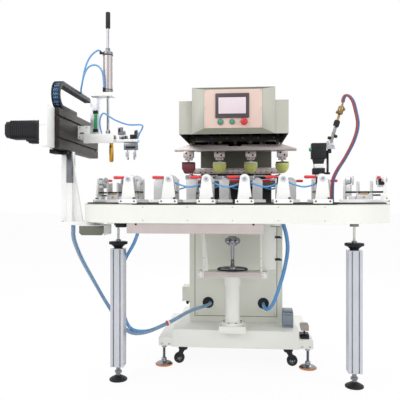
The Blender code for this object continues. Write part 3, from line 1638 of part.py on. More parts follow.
def make_loader_carriage():
    y = span(LOADER_Y, 2 * CARRIAGE_HALF_Y)
    carriage = block("loader_carriage", CARRIAGE_X, y, CARRIAGE_Z)
    joins = [
        block(
            "slide_column",
            COLUMN_SLIDE_X,
            span(LOADER_Y, CARRIAGE_HALF_Y),
            (COLUMN_SLIDE_LOW, BRACKET_TOP - OVERRUN),
            tool=True,
        ),
        block(
            "top_bracket",
            (COLUMN_SLIDE_X[0] + OVERRUN, BRACKET_RIGHT),
            span(LOADER_Y, 2 * CARRIAGE_HALF_Y - OVERRUN),
            (BRACKET_LOW, BRACKET_TOP),
            tool=True,
        ),
    ]
    bore_low = (LIFT_X, LOADER_Y, BRACKET_LOW - OVERRUN)
    bore_high = (LIFT_X, LOADER_Y, BRACKET_TOP + OVERRUN)
    bore = rod("bracket_bore", LIFT_ROD_RADIUS + RUNNING_GAP, bore_low, bore_high, tool=True)
    dress(cut(fused(carriage, *joins), bore), WHITE)
    barrel = turned(
        "lift_cylinder",
        [
            (LIFT_ROD_RADIUS + RUNNING_GAP, LIFT_TOP),
            (LIFT_RADIUS, LIFT_TOP),
            (LIFT_RADIUS, BRACKET_TOP + SEAT_GAP),
            (LIFT_ROD_RADIUS + RUNNING_GAP, BRACKET_TOP + SEAT_GAP),
        ],
        (LIFT_X, LOADER_Y, 0),
    )
    dress(barrel, SILVER)
    traverse = pivot("loader_traverse_axis", (LIFT_X, LOADER_Y, CARRIAGE_Z[0]), [carriage, barrel])

    rod_low = ARM_Z[1] + SEAT_GAP
    lift_rod = turned(
        "lift_rod",
        [
            (0, SLEEVE_TOP),
            (SLEEVE_RADIUS, SLEEVE_TOP),
            (SLEEVE_RADIUS, LIFT_ROD_TOP),
            (LIFT_ROD_RADIUS, LIFT_ROD_TOP),
            (LIFT_ROD_RADIUS, rod_low + 2 * SLEEVE_RADIUS),
            (SLEEVE_RADIUS, rod_low + 2 * SLEEVE_RADIUS),
            (SLEEVE_RADIUS, rod_low),
            (0, rod_low),
        ],
        (LIFT_X, LOADER_Y, 0),
    )
    dress(lift_rod, SILVER)
    arm = block("gripper_body", ARM_X, span(LOADER_Y, 2 * ARM_HALF_Y), ARM_Z)
    brass_ends = [(BRASS_X, LOADER_Y, z) for z in (BRASS_LOW, ARM_Z[0] + OVERRUN)]
    brass = rod("gold_cylinder", BRASS_RADIUS, *brass_ends, tool=True)
    low, high = GRIPPER_Z
    gripper = block(
        "gripper_block",
        span(GRIPPER_X, 2 * GRIPPER_HALF),
        span(LOADER_Y, ARM_HALF_Y),
        (low, high + OVERRUN),
        tool=True,
    )
    dress(fused(arm, brass, gripper), WHITE)
    lift = pivot("loader_lift_axis", (LIFT_X, LOADER_Y, rod_low), [lift_rod, arm], traverse)
    for side, word in ((-1, "left"), (1, "right")):
        jaw_x = GRIPPER_X + side * JAW_X_GAP
        jaw = block(
            f"gripper_jaw_{word}",
            span(jaw_x + side * JAW[0] / 2, JAW[0]),
            span(LOADER_Y, JAW[1]),
            (JAW_LOW, low - SEAT_GAP),
        )
        dress(jaw, SILVER)
        pivot(f"gripper_jaw_{word}_axis", (jaw_x, LOADER_Y, low), [jaw], lift)


def chain_path(inset):
    """The bent chain's side view, at a distance inside its outer face."""
    low = MODULE_HIGH + SEAT_GAP + inset
    outer = CHAIN_BEND + CHAIN_THICK / 2 - inset
    centre_z = MODULE_HIGH + SEAT_GAP + CHAIN_BEND + CHAIN_THICK / 2
    points = [(CHAIN_LOWER_END, low)]
    for step in range(ARC_STEPS + 1):
        angle = -pi / 2 - pi * step / ARC_STEPS
        points.append((CHAIN_FRONT + outer * cos(angle), centre_z + outer * sin(angle)))
    points.append((CHAIN_UPPER_END, centre_z + outer))
    return points


def make_energy_chain():
    outline = chain_path(0) + list(reversed(chain_path(CHAIN_THICK)))
    dress(slab("energy_chain", [outline], CHAIN_WIDTH, (CHAIN_CENTRE_X, 0, 0), ALONG), BLACK)


# Flame unit
BURNER_HALF = (42 * MM, 30 * MM)
BURNER_Z = (1330 * MM, 1422 * MM)
BURNER_NECK_Z = 1240 * MM
BURNER_NECK_HALF = 34 * MM
BURNER_POST_HALF = 20 * MM
TORCH_ROD_X = 547 * MM
TORCH_ROD_RADIUS = 7 * MM
TORCH_BRACKET_Z = (1364 * MM, 1380 * MM)
TORCH_EAR = 6 * MM
TORCH_TOP = (632 * MM, 1650 * MM)
TORCH_LOW = 1392 * MM
TORCH_RADIUS = 9 * MM
VALVE_RADIUS = 18 * MM
VALVE_Z = (1585 * MM, 1640 * MM)
GAS_HOSE_RADIUS = 6 * MM
GAS_HOSE_ROUTE = (
    (0.6345, 1.662),
    (0.641, 1.690),
    (0.660, 1.703),
    (0.690, 1.672),
    (0.7095, 1.603),
    (0.720, 1.527),
    (0.699, 1.440),
    (0.650, 1.341),
    (0.603, 1.265),
    (0.578, 1.207),
    (0.573, 1.140),
    (0.573, 1.069),
)


def make_flame_unit():
    foot = APRON_HIGH + SEAT_GAP
    ear_y = FLAME_Y + TORCH_RADIUS + SEAT_GAP + TORCH_EAR / 2
    burner = block(
        "burner_stand",
        span(FLAME_X, 2 * BURNER_HALF[0]),
        span(FLAME_Y, 2 * BURNER_HALF[1]),
        BURNER_Z,
    )
    joins = [
        block(
            "burner_neck",
            span(FLAME_X, 2 * BURNER_NECK_HALF),
            span(FLAME_Y, 2 * BURNER_HALF[1] - OVERRUN),
            (BURNER_NECK_Z, BURNER_Z[0] + OVERRUN),
            tool=True,
        ),
        block(
            "burner_post",
            span(FLAME_X, 2 * BURNER_POST_HALF),
            span(FLAME_Y, 2 * BURNER_POST_HALF),
            (foot, BURNER_NECK_Z + OVERRUN),
            tool=True,
        ),
        rod(
            "torch_rod",
            TORCH_ROD_RADIUS,
            (TORCH_ROD_X, FLAME_Y, BURNER_NECK_Z),
            (TORCH_ROD_X, FLAME_Y, TORCH_BRACKET_Z[1]),
            tool=True,
            sides=SMALL_SIDES,
        ),
        block(
            "torch_bracket",
            (FLAME_X, TORCH_ROD_X + TORCH_ROD_RADIUS),
            (FLAME_Y - TORCH_ROD_RADIUS - OVERRUN, ear_y),
            TORCH_BRACKET_Z,
            tool=True,
        ),
    ]
    joins.append(
        block(
            "torch_ear",
            (TORCH_ROD_X - TORCH_EAR, TORCH_PIVOT_X + TORCH_EAR),
            span(ear_y, TORCH_EAR),
            (TORCH_BRACKET_Z[0], TORCH_PIVOT_Z + TORCH_EAR),
            tool=True,
        )
    )
    dress(fused(burner, *joins), BLACK)

    top_x, top_z = TORCH_TOP
    lean = (top_x - TORCH_PIVOT_X) / (top_z - TORCH_PIVOT_Z)

    def along(z):
        return (TORCH_PIVOT_X + lean * (z - TORCH_PIVOT_Z), FLAME_Y, z)

    torch = rod("torch", TORCH_RADIUS, along(TORCH_LOW), along(top_z), end_radius=TORCH_RADIUS * 3 / 4)
    valve = rod("torch_valve", VALVE_RADIUS, along(VALVE_Z[0]), along(VALVE_Z[1]), tool=True)
    knob_z = (VALVE_Z[0] + VALVE_Z[1]) / 2
    knob_start = Vector(along(knob_z))
    knob = rod(
        "torch_knob",
        TORCH_RADIUS,
        knob_start,
        knob_start + Vector((2 * VALVE_RADIUS, 0, 0)),
        tool=True,
        sides=SMALL_SIDES,
    )
    dress(fused(torch, valve, knob), BRASS)
    pivot("torch_axis", (TORCH_PIVOT_X, FLAME_Y, TORCH_PIVOT_Z), [torch])

    points = [(x, FLAME_Y, z) for x, z in GAS_HOSE_ROUTE]
    dress(tube("torch_hose", [smooth_route(points, 5 * GAS_HOSE_RADIUS)], GAS_HOSE_RADIUS), RED)


# Air hoses between the cabinet and the conveyor
HOSE_RADIUS = 13 * MM
HOSE_STEP = 70 * MM
HOSE_ROUTES = (
    (
        (-0.175, 0.9997, 0.380),
        (-0.175, 0.855, 0.380),
        (-0.190, 0.790, 0.374),
        (-0.303, 0.720, 0.346),
        (-0.440, 0.650, 0.280),
        (-0.590, 0.575, 0.232),
        (-0.692, 0.520, 0.262),
        (-0.789, 0.470, 0.4156),
        (-0.868, 0.430, 0.5716),
        (-0.945, 0.395, 0.7315),
        (-0.978, 0.355, 0.850),
        (-0.980, 0.350, 0.905),
        (-0.980, 0.350, 0.9437),
    ),
    (
        (-0.440, 0.650, 0.280),
        (-0.500, 0.630, 0.270),
        (-0.560, 0.605, 0.298),
        (-0.650, 0.560, 0.320),
        (-0.705, 0.510, 0.430),
        (-0.720, 0.470, 0.560),
        (-0.680, 0.430, 0.710),
        (-0.605, 0.360, 0.830),
        (-0.560, 0.290, 0.920),
        (-0.545, 0.262, 0.955),
    ),
    (
        (0.190, 0.9997, 0.380),
        (0.190, 0.855, 0.380),
        (0.192, 0.800, 0.366),
        (0.212, 0.760, 0.359),
        (0.246, 0.745, 0.392),
        (0.284, 0.730, 0.4917),
        (0.322, 0.715, 0.627),
        (0.343, 0.700, 0.7615),
        (0.333, 0.680, 0.861),
        (0.311, 0.655, 0.940),
        (0.305, 0.640, 1.015),
        (0.305, 0.640, 1.0587),
    ),
)


def make_hoses():
    main, branch, right = [smooth_route(points, HOSE_STEP) for points in HOSE_ROUTES]
    left = as_mesh(tube("air_hose_left", [main], HOSE_RADIUS))
    second = as_mesh(tube("air_hose_branch", [branch], HOSE_RADIUS - JIG_SUNK), tool=True)
    dress(fused(left, second), BLUE)
    dress(tube("air_hose_right", [right], HOSE_RADIUS), BLUE)


def move_to_footprint_centre():
    """Puts the origin under the middle of the whole machine, on the floor."""
    bpy.context.view_layer.update()
    depsgraph = bpy.context.evaluated_depsgraph_get()
    corners = []
    for made in bpy.data.collections[PARTS].objects:
        if made.type != "EMPTY":
            seen = made.evaluated_get(depsgraph)
            mesh = seen.to_mesh()
            corners += [seen.matrix_world @ vert.co for vert in mesh.vertices]
            seen.to_mesh_clear()
    low = [min(corner[axis] for corner in corners) for axis in (0, 1)]
    high = [max(corner[axis] for corner in corners) for axis in (0, 1)]
    shift = Vector(((low[0] + high[0]) / 2, (low[1] + high[1]) / 2, 0))
    for collection in (PARTS, TOOLS):
        for made in bpy.data.collections[collection].objects:
            if not made.parent:
                made.location -= shift
    bpy.context.view_layer.update()
    return shift


make_base()
make_feet()
make_wheels()
make_cabinet()
make_pedal()
make_column()
make_neck()
make_head()
make_bed()
make_carriage()
make_conveyor()
make_jigs()
make_lift()
make_stands()
make_loader()
make_energy_chain()
make_flame_unit()
make_hoses()
move_to_footprint_centre()
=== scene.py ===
from itertools import product
from math import cos, pi, radians, sin

import bmesh
import bpy
from mathutils import Matrix, Vector


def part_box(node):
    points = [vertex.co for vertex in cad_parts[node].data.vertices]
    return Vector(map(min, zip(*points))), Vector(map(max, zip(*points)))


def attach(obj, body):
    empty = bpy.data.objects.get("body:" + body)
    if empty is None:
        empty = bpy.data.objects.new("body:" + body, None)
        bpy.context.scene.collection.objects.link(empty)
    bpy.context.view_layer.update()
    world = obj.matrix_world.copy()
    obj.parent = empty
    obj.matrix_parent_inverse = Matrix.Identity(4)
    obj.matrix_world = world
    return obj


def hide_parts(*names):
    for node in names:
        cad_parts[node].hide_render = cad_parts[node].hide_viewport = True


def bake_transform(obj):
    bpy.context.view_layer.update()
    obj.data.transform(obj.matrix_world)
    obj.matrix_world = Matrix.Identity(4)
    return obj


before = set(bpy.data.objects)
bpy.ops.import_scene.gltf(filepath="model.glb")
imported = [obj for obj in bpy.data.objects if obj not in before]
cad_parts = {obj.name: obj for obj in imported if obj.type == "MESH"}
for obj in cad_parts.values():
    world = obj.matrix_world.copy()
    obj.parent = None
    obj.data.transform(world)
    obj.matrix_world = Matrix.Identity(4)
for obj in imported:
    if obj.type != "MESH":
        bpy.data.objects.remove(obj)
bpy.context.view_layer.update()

# The pieces are drawn in millimetres, from the middle of the cabinet, the front of the conveyor and the floor
SHIFT = Vector(((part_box("arm_neck")[0].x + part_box("arm_neck")[1].x) / 2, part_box("conveyor_apron")[0].y, 0))
PLACE = Matrix.Translation(SHIFT) @ Matrix.Scale(0.001, 4)
UP, FRONT, BACK, LEFT, RIGHT = (0, 0, 1), (0, -1, 0), (0, 1, 0), (-1, 0, 0), (1, 0, 0)

# Places that pieces share: the column's axis, the middle of the track and half the length of its straights,
# the stands, the pads and their guide rods, the rails of the carriage, the pad beam and the ink cups
COLUMN = (-16, 635, 0)
TRACK_Y, TRACK_HALF = 350, 541
STANDS = (-700, 700)
PADS = (-306, -102, 102, 306)
RODS = (-282, -98, 98, 282)
RAILS, RAIL_Z = (-200, 200), 1540
BEAM_Y, CUP_Y = 670, 835


def tint(colour):
    """An sRGB hex colour as the linear colour that a socket takes."""
    shares = [int(colour[at : at + 2], 16) / 255 for at in (1, 3, 5)]
    return (*[s / 12.92 if s <= 0.04045 else ((s + 0.055) / 1.055) ** 2.4 for s in shares], 1)


def add(tree, kind, links=(), **settings):
    """Adds a node, sets its properties and fills or plugs the inputs that links names."""
    node = tree.nodes.new(kind)
    for name, value in settings.items():
        setattr(node, name, value)
    for socket, value in dict(links).items():
        if isinstance(value, bpy.types.NodeSocket):
            tree.links.new(value, node.inputs[socket])
        else:
            node.inputs[socket].default_value = value
    return node


def surface(
    name, colour, second, patch, grain, relief, rough, spread=0.06, metallic=0, stretch=(1, 1, 1), **sockets
):
    """A surface whose colour drifts over patches, with a grain that lifts it and roughens it. Sizes in mm."""
    made = bpy.data.materials.new(name)
    made.use_nodes = True
    tree = made.node_tree
    shader = tree.nodes["Principled BSDF"]
    spot = add(tree, "ShaderNodeTexCoord").outputs["Object"]
    cloud = {"Vector": spot, "Scale": 1000 / patch, "Detail": 3, "Roughness": 0.55}
    drift = add(tree, "ShaderNodeTexNoise", cloud).outputs["Fac"]
    shades = {"Factor": drift, 6: tint(colour), 7: tint(second)}
    blend = add(tree, "ShaderNodeMix", shades, data_type="RGBA")
    tree.links.new(blend.outputs[2], shader.inputs["Base Color"])
    lie = add(tree, "ShaderNodeMapping", {"Vector": spot, "Scale": stretch}).outputs["Vector"]
    tooth = {"Vector": lie, "Scale": 1000 / grain, "Detail": 2, "Roughness": 0.6}
    fine = add(tree, "ShaderNodeTexNoise", tooth).outputs["Fac"]
    lift = add(tree, "ShaderNodeBump", {"Height": fine, "Distance": relief / 1000, "Strength": 0.7})
    tree.links.new(lift.outputs["Normal"], shader.inputs["Normal"])
    limits = {"To Min": max(rough - spread, 0.02), "To Max": rough + spread}
    sheen = add(tree, "ShaderNodeMapRange", {"Value": fine, **limits})
    tree.links.new(sheen.outputs["Result"], shader.inputs["Roughness"])
    shader.inputs["Metallic"].default_value = metallic
    for socket, value in sockets.items():
        shader.inputs[socket.replace("_", " ")].default_value = value
    return made


# Powder coat on sheet steel: faint clouding, and an orange peel of 6 mm where the real one is 1 or 2
CREAM = surface("powder_coat_off_white", "#E9E9E4", "#DFE0D9", 260, 6, 0.05, 0.42)
GREIGE = surface("powder_coat_grey_green", "#E8E8DE", "#DEDFD3", 240, 6, 0.05, 0.48)
HEAD_GREY = surface("powder_coat_head_grey", "#B6B6AC", "#ACACA1", 240, 6, 0.05, 0.46)
# OLIVE: a dark olive paint that is also laid as painted shade in the gap round the front cover
OLIVE = surface("dark_olive_enamel_and_painted_shade", "#6B6C60", "#5E5F54", 200, 5, 0.05, 0.5)
# SHADOW: a near-black laid as painted shade inside the head, in holes and vents and along shaded edges and gaps,
# and also the colour of a few dark parts and joints
SHADOW = surface("dark_enamel_and_painted_shade", "#22241F", "#181A17", 150, 4, 0.04, 0.6)
# Sprayed, moulded and cast housings: smoother than the coated sheet, each in its own flat colour
WHITE = surface("spray_paint_white", "#F1F1EF", "#E6E7E5", 120, 4, 0.04, 0.38)
BLUE_GREY = surface("moulded_abs_blue_grey", "#8A93A0", "#7C8592", 60, 2, 0.05, 0.5)
TAUPE = surface("cast_aluminium_taupe_paint", "#A79C96", "#998E88", 50, 2, 0.08, 0.5)
# Bead-blasted tooling plate: an even grey skin that scatters the light
BLASTED = surface("bead_blasted_aluminium", "#DADADA", "#C8C8CA", 30, 1.4, 0.05, 0.42, 0.06, 0.35)
# Anodised extrusions: drawn lines along the length, a warm grey cast
ANODISED = surface(
    "anodised_aluminium_warm", "#D0C6C3", "#BBB0AE", 90, 2.5, 0.03, 0.36, 0.1, 0.75, (0.06, 1, 1)
)
ANODISED_DARK = surface(
    "anodised_aluminium_dark", "#3A3431", "#262220", 90, 2.5, 0.03, 0.5, 0.1, 0, (1, 0.06, 1),
    Specular_IOR_Level=0.2,
)
PROFILE = surface(
    "extruded_aluminium_profile", "#D3D5DC", "#C2C5CD", 120, 2.5, 0.03, 0.34, 0.1, 0.7, (1, 1, 0.05)
)
# Milled aluminium: fine cutter marks that break up the shine
MILLED = surface("milled_aluminium", "#C6C8CE", "#A9ACB3", 40, 1.6, 0.03, 0.3, 0.1, 0.8, (1, 0.15, 1))
# Bare and plated metals: ground, bright chrome, grey zinc, turned brass and gold anodising
STEEL = surface("ground_steel", "#8E9095", "#75777C", 30, 1.2, 0.02, 0.28, 0.08, 1, (1, 1, 0.2))
CHROME = surface("chrome_plated_steel", "#A2A4A9", "#85878D", 60, 8, 0.002, 0.12, 0.03, 1)
ZINC = surface("zinc_plated_screws", "#B4B6BA", "#9C9EA4", 12, 1.5, 0.03, 0.32, 0.08, 1)
BRASS = surface("turned_brass", "#A18A64", "#7C6748", 20, 1.4, 0.03, 0.28, 0.08, 1)
GOLD = surface("gold_anodised_aluminium", "#D2A238", "#BE8C22", 30, 1.6, 0.02, 0.3, 0.08, 0.85)
# Moulded rubber of the feet: orange and dull
ORANGE_RUBBER = surface("orange_rubber_pad", "#D98A4E", "#C5763C", 20, 2, 0.06, 0.6)
# Black parts: a fine spark-eroded or anodised texture, never quite black
BLACK = surface("moulded_abs_black", "#1F2024", "#16171A", 40, 1.8, 0.06, 0.5, Specular_IOR_Level=0.3)
GLOSS_BLACK = surface(
    "black_anodised_motor_case", "#1C1C22", "#121217", 50, 2, 0.03, 0.4, 0.08, 0, (0.1, 1, 1),
    Specular_IOR_Level=0.3,
)
RUBBER = surface("moulded_rubber", "#202124", "#17181A", 25, 2, 0.1, 0.75)
BELT = surface("rubber_conveyor_belt", "#1D1E20", "#141517", 40, 3, 0.25, 0.7, 0.08, 0, (1, 0.2, 1))
# Dip-moulded PVC: bright, thick and slightly waxy
RED = surface("dipped_pvc_red", "#DF2C38", "#C81F2C", 20, 3, 0.05, 0.32, Coat_Weight=0.3)
# Moulded buttons and windows: clear bright colour with a gloss
RED_GLOSS = surface("moulded_nylon_red", "#CC1C25", "#B2141D", 20, 3, 0.03, 0.3, Coat_Weight=0.4)
GREEN = surface("moulded_acrylic_green", "#21A679", "#178A63", 14, 3, 0.02, 0.25, Coat_Weight=0.5)
LED_GREEN = surface("green_sensor_window", "#2E9C5A", "#1F7F45", 14, 3, 0.02, 0.3)
# Cast silicone: matte and milky, with cloudy batches of dye
LIME = surface("cast_silicone_lime", "#E2E391", "#CDD172", 16, 2.4, 0.12, 0.5, Subsurface_Weight=0.15)
MAROON = surface("cast_silicone_maroon", "#8E4549", "#713238", 14, 2.4, 0.14, 0.55, Subsurface_Weight=0.1)
# Laminate blocks of the jigs: flat tan
TAN = surface("phenolic_laminate_tan", "#B59C7C", "#A18868", 14, 2, 0.08, 0.5)
# Polyurethane air line: clear blue with a gloss, and a greyer blue for the left bundle
TUBING = surface("polyurethane_tube_blue", "#62A6DC", "#3F82C0", 60, 5, 0.05, 0.26, Coat_Weight=0.4)
TUBING_DARK = surface("polyurethane_tube_grey_blue", "#86A6C6", "#64829F", 60, 5, 0.05, 0.3, Coat_Weight=0.3)
# Rubber gas hose: dull red and dull blue
GAS_RED = surface("rubber_gas_hose_red", "#9E4C48", "#823A38", 30, 3, 0.1, 0.5)
GAS_BLUE = surface("rubber_gas_hose_blue", "#5274AC", "#3F5E92", 30, 3, 0.1, 0.5)
# The head's nose: painted shade on the slant below and on the rim above; the rim grey also edges the face plate
# and rings the stop button
HEAD_SLANT_SHADE = surface("painted_shade_head_slant", "#8D907F", "#828575", 200, 6, 0.05, 0.5)
HEAD_RIM = surface("rim_grey_and_painted_shade", "#6F7366", "#64685C", 200, 6, 0.05, 0.5)
# Printed polycarbonate: pale pink face foil with a dead matte skin, round the bezel and glass of the screen
FOIL = surface("polycarbonate_face_foil", "#D9C2B7", "#CDB4A9", 120, 3, 0.03, 0.5)
BEZEL = surface("moulded_bezel_dark_brown", "#4B4147", "#40373C", 60, 2, 0.04, 0.4)
GLASS = surface("screen_glass_pale", "#DECFD5", "#D2C2C9", 90, 6, 0.005, 0.1, 0.03, Coat_Weight=0.6)
# Brushed, glazed and etched faces: a tight shine with little relief
BARREL = surface("brushed_stainless_barrel", "#B9B2B3", "#A09A9B", 90, 6, 0.003, 0.34, 0.05, 0.7, (1, 1, 0.1))
CERAMIC = surface("ceramic_ring", "#F0EEE9", "#E4E1DA", 20, 2, 0.02, 0.2)
CLICHE = surface("etched_steel_plate", "#B9A58E", "#A28E78", 40, 1.4, 0.02, 0.25, 0.06, 0.9)


def stand(name, data):
    """A new object in the scene."""
    made = bpy.data.objects.new(name, data)
    bpy.context.scene.collection.objects.link(made)
    return made


def bevel(shape, edges, width, steps=2):
    """Rounds the edges of a bmesh by a width in mm."""
    bmesh.ops.bevel(shape, geom=edges, offset=width, segments=steps, profile=0.5, affect="EDGES")


class Form:
    """Closed shapes gathered into one mesh. Each takes the finish that was chosen last."""

    def __init__(self, finish):
        self.whole = bmesh.new()
        self.finishes = []
        self.use(finish)

    def use(self, finish):
        if finish not in self.finishes:
            self.finishes.append(finish)
        self.slot = self.finishes.index(finish)
        return self

    def take(self, shape, place=Matrix.Identity(4)):
        for face in shape.faces:
            face.material_index = self.slot
        shape.transform(place)
        bmesh.ops.recalc_face_normals(shape, faces=shape.faces)
        carrier = bpy.data.meshes.new("carrier")
        shape.to_mesh(carrier)
        shape.free()
        self.whole.from_mesh(carrier)
        bpy.data.meshes.remove(carrier)
        return self

    def box(self, low, high, edge=1.0, place=Matrix.Identity(4), steps=2):
        shape = bmesh.new()
        bmesh.ops.create_cube(shape, size=1)
        low, high = Vector(low), Vector(high)
        size = high - low
        for vert in shape.verts:
            vert.co = (low + high) / 2 + Vector(a * b for a, b in zip(vert.co, size))
        if edge:
            bevel(shape, shape.edges[:], min(edge, min(size) * 0.45), steps)
        return self.take(shape, place)

    def prism(self, outline, axis, low, high, edge=0, place=Matrix.Identity(4)):
        """An outline given a depth along an axis. The outline's points are the other two coordinates."""
        shape = bmesh.new()
        order = {"x": (2, 0, 1), "y": (0, 2, 1), "z": (0, 1, 2)}[axis]
        corners = [[[(*point, depth)[at] for at in order] for point in outline] for depth in (low, high)]
        near, far = [[shape.verts.new(corner) for corner in end] for end in corners]
        ends = [shape.faces.new(near), shape.faces.new(far)]
        for at in range(len(outline)):
            follow = (at + 1) % len(outline)
            shape.faces.new((near[at], near[follow], far[follow], far[at]))
        if edge:
            bevel(shape, list({rim for end in ends for rim in end.edges}), edge)
        return self.take(shape, place)

    def turn(self, profile, foot, axis=UP, steps=40, hollow=False):
        """A turned shape: (radius, height) points along the axis. A hollow one closes on itself."""
        shape = bmesh.new()
        rings = []
        for radius, height in profile:
            count = steps if radius > 0.001 else 1
            angles = [2 * pi * step / steps for step in range(count)]
            rings.append([shape.verts.new((radius * cos(a), radius * sin(a), height)) for a in angles])
        pairs = list(zip(rings, rings[1:] + rings[:1] if hollow else rings[1:]))
        for first, second in pairs:
            for step in range(steps):
                follow = (step + 1) % steps
                corners = [first[step % len(first)], first[follow % len(first)]]
                corners += [second[follow % len(second)], second[step % len(second)]]
                corners = list(dict.fromkeys(corners))
                if len(corners) > 2:
                    shape.faces.new(corners)
        if not hollow:
            for ring in (rings[0], rings[-1]):
                if len(ring) > 2:
                    shape.faces.new(ring)
        turn = Vector((0, 0, 1)).rotation_difference(Vector(axis)).to_matrix().to_4x4()
        return self.take(shape, Matrix.Translation(Vector(foot)) @ turn)

    def disc(self, radius, height, foot, axis=UP, steps=40, bore=0, edge=(0, 0)):
        """A turned disc, or a ring if it has a bore. Its rims are cut back across and along the axis."""
        across, along = edge
        rim = [(radius - across, 0), (radius, along), (radius, height - along), (radius - across, height)]
        if not across:
            rim = [(radius, 0), (radius, height)]
        return self.turn([(bore, 0), *rim, (bore, height)], foot, axis, steps, hollow=bore > 0)

    def rod(self, start, end, radius, steps=24, edge=0.0, tip=None):
        start, end = Vector(start), Vector(end)
        length = (end - start).length
        tip = radius if tip is None else tip
        edge = min(edge, length / 3, radius / 2)
        foot = [(radius - edge, 0), (radius, edge)] if edge else [(radius, 0)]
        head = [(tip, length - edge), (tip - edge, length)] if edge else [(tip, length)]
        return self.turn([(0, 0), *foot, *head, (0, length)], start, end - start, steps)

    def hose(self, points, radius, sides=12, section=None, twist=0.0):
        """A tube along the points, round or with a section of (share of the radius, angle) points."""
        section = section or [(1, 2 * pi * side / sides) for side in range(sides)]
        shape = bmesh.new()
        points = [Vector(point) for point in points]
        side = None
        rings = []
        for at, point in enumerate(points):
            along = (points[min(at + 1, len(points) - 1)] - points[max(at - 1, 0)]).normalized()
            if side is None:
                side = along.orthogonal().normalized()
            side = (side - along * side.dot(along)).normalized()
            up = along.cross(side)
            spin = twist * at
            ring = []
            for share, angle in section:
                reach = radius * share
                ring.append(point + side * reach * cos(angle + spin) + up * reach * sin(angle + spin))
            rings.append([shape.verts.new(spot) for spot in ring])
        for first, second in zip(rings, rings[1:]):
            for at in range(len(section)):
                follow = (at + 1) % len(section)
                shape.faces.new((first[at], first[follow], second[follow], second[at]))
        shape.faces.new(rings[0])
        shape.faces.new(rings[-1])
        return self.take(shape)

    def mesh(self, name, place):
        mesh = bpy.data.meshes.new(name)
        self.whole.to_mesh(mesh)
        self.whole.free()
        mesh.transform(place)
        return mesh

    def made(self, name, body, *nodes, sharp=26.0):
        """Ends the piece: it gets its finishes, rides on the body and stands for the nodes."""
        mesh = self.mesh(name, PLACE)
        for finish in self.finishes:
            mesh.materials.append(finish)
        return settle(name, mesh, body, *nodes, sharp=sharp)


def settle(name, mesh, body, *nodes, sharp=26.0):
    """Makes the mesh a piece. A piece without a body is attached to none."""
    mesh.shade_smooth()
    mesh.set_sharp_from_angle(angle=radians(sharp))
    piece = stand(name, mesh)
    if body:
        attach(piece, body)
    if nodes:
        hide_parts(*nodes)
    return piece


def dress(node, finish, edge=0.0):
    """Gives a CAD node its finish and, with an edge, a small bevel. Its mesh stays as it is."""
    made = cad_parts[node]
    made.data.materials.clear()
    made.data.materials.append(finish)
    if edge:
        soft = made.modifiers.new("edge", "BEVEL")
        soft.width = edge / 1000
        soft.segments = 2
        soft.limit_method = "ANGLE"
        soft.angle_limit = radians(40)


def arc(centre, radius, start, end, steps):
    """Points on an arc, with angles in degrees."""
    angles = [radians(start + (end - start) * step / steps) for step in range(steps + 1)]
    return [(centre[0] + radius * cos(angle), centre[1] + radius * sin(angle)) for angle in angles]


def smooth(points, step):
    """Evenly spread points, in mm, on a smooth curve through the route's own points."""
    route = [Vector(point) for point in points]
    ends = [route[0] * 2 - route[1]] + route + [route[-1] * 2 - route[-2]]
    fine = []
    for a, b, c, d in zip(ends, ends[1:], ends[2:], ends[3:]):
        parts = max(2, round((c - b).length / step))
        for index in range(parts):
            t = index / parts
            bend = (a * 2 - b * 5 + c * 4 - d) * t**2 + (b * 3 - a - c * 3 + d) * t**3
            fine.append((b * 2 + (c - a) * t + bend) / 2)
    return fine + [route[-1]]


# Trees of Geometry Nodes for what repeats


def new_tree(name, **inputs):
    tree = bpy.data.node_groups.new(name, "GeometryNodeTree")
    tree.interface.new_socket("Geometry", in_out="INPUT", socket_type="NodeSocketGeometry")
    for label, kind in inputs.items():
        tree.interface.new_socket(label, in_out="INPUT", socket_type=kind)
    tree.interface.new_socket("Geometry", in_out="OUTPUT", socket_type="NodeSocketGeometry")
    return tree, add(tree, "NodeGroupInput").outputs


def close_tree(tree, geometry, finish):
    """Every tree ends in real geometry with its material set."""
    real = add(tree, "GeometryNodeRealizeInstances", {"Geometry": geometry})
    painted = add(tree, "GeometryNodeSetMaterial", {"Geometry": real.outputs[0], "Material": finish})
    add(tree, "NodeGroupOutput", {"Geometry": painted.outputs[0]})
    return tree


def make_screw_tree():
    """A socket-head screw on each point, standing along the point's facing."""
    number = "NodeSocketFloat"
    tree, given = new_tree("cap_screws", Radius=number, Height=number, Finish="NodeSocketMaterial")
    radius, height = given["Radius"], given["Height"]
    key_share, sunk_share = 0.52, 0.45
    head = add(tree, "GeometryNodeMeshCylinder", {"Vertices": 18, "Radius": radius, "Depth": height})
    slim = add(tree, "ShaderNodeMath", {0: radius, 1: key_share}, operation="MULTIPLY")
    key = add(tree, "GeometryNodeMeshCylinder", {"Vertices": 6, "Radius": slim.outputs[0], "Depth": height})
    lift = add(tree, "ShaderNodeMath", {0: height, 1: sunk_share}, operation="MULTIPLY")
    up = add(tree, "ShaderNodeCombineXYZ", {"Z": lift.outputs[0]})
    raised = add(tree, "GeometryNodeTransform", {"Geometry": key.outputs[0], "Translation": up.outputs[0]})
    meshes = {"Mesh 1": head.outputs["Mesh"], "Mesh 2": raised.outputs["Geometry"]}
    bored = add(tree, "GeometryNodeMeshBoolean", meshes, operation="DIFFERENCE")
    facing = add(tree, "GeometryNodeInputNamedAttribute", {"Name": "facing"}, data_type="FLOAT_VECTOR")
    aim = add(tree, "FunctionNodeAlignRotationToVector", {"Vector": facing.outputs["Attribute"]}, axis="Z")
    links = {"Points": given["Geometry"], "Instance": bored.outputs["Mesh"], "Rotation": aim.outputs[0]}
    spread = add(tree, "GeometryNodeInstanceOnPoints", links)
    return close_tree(tree, spread.outputs["Instances"], given["Finish"])


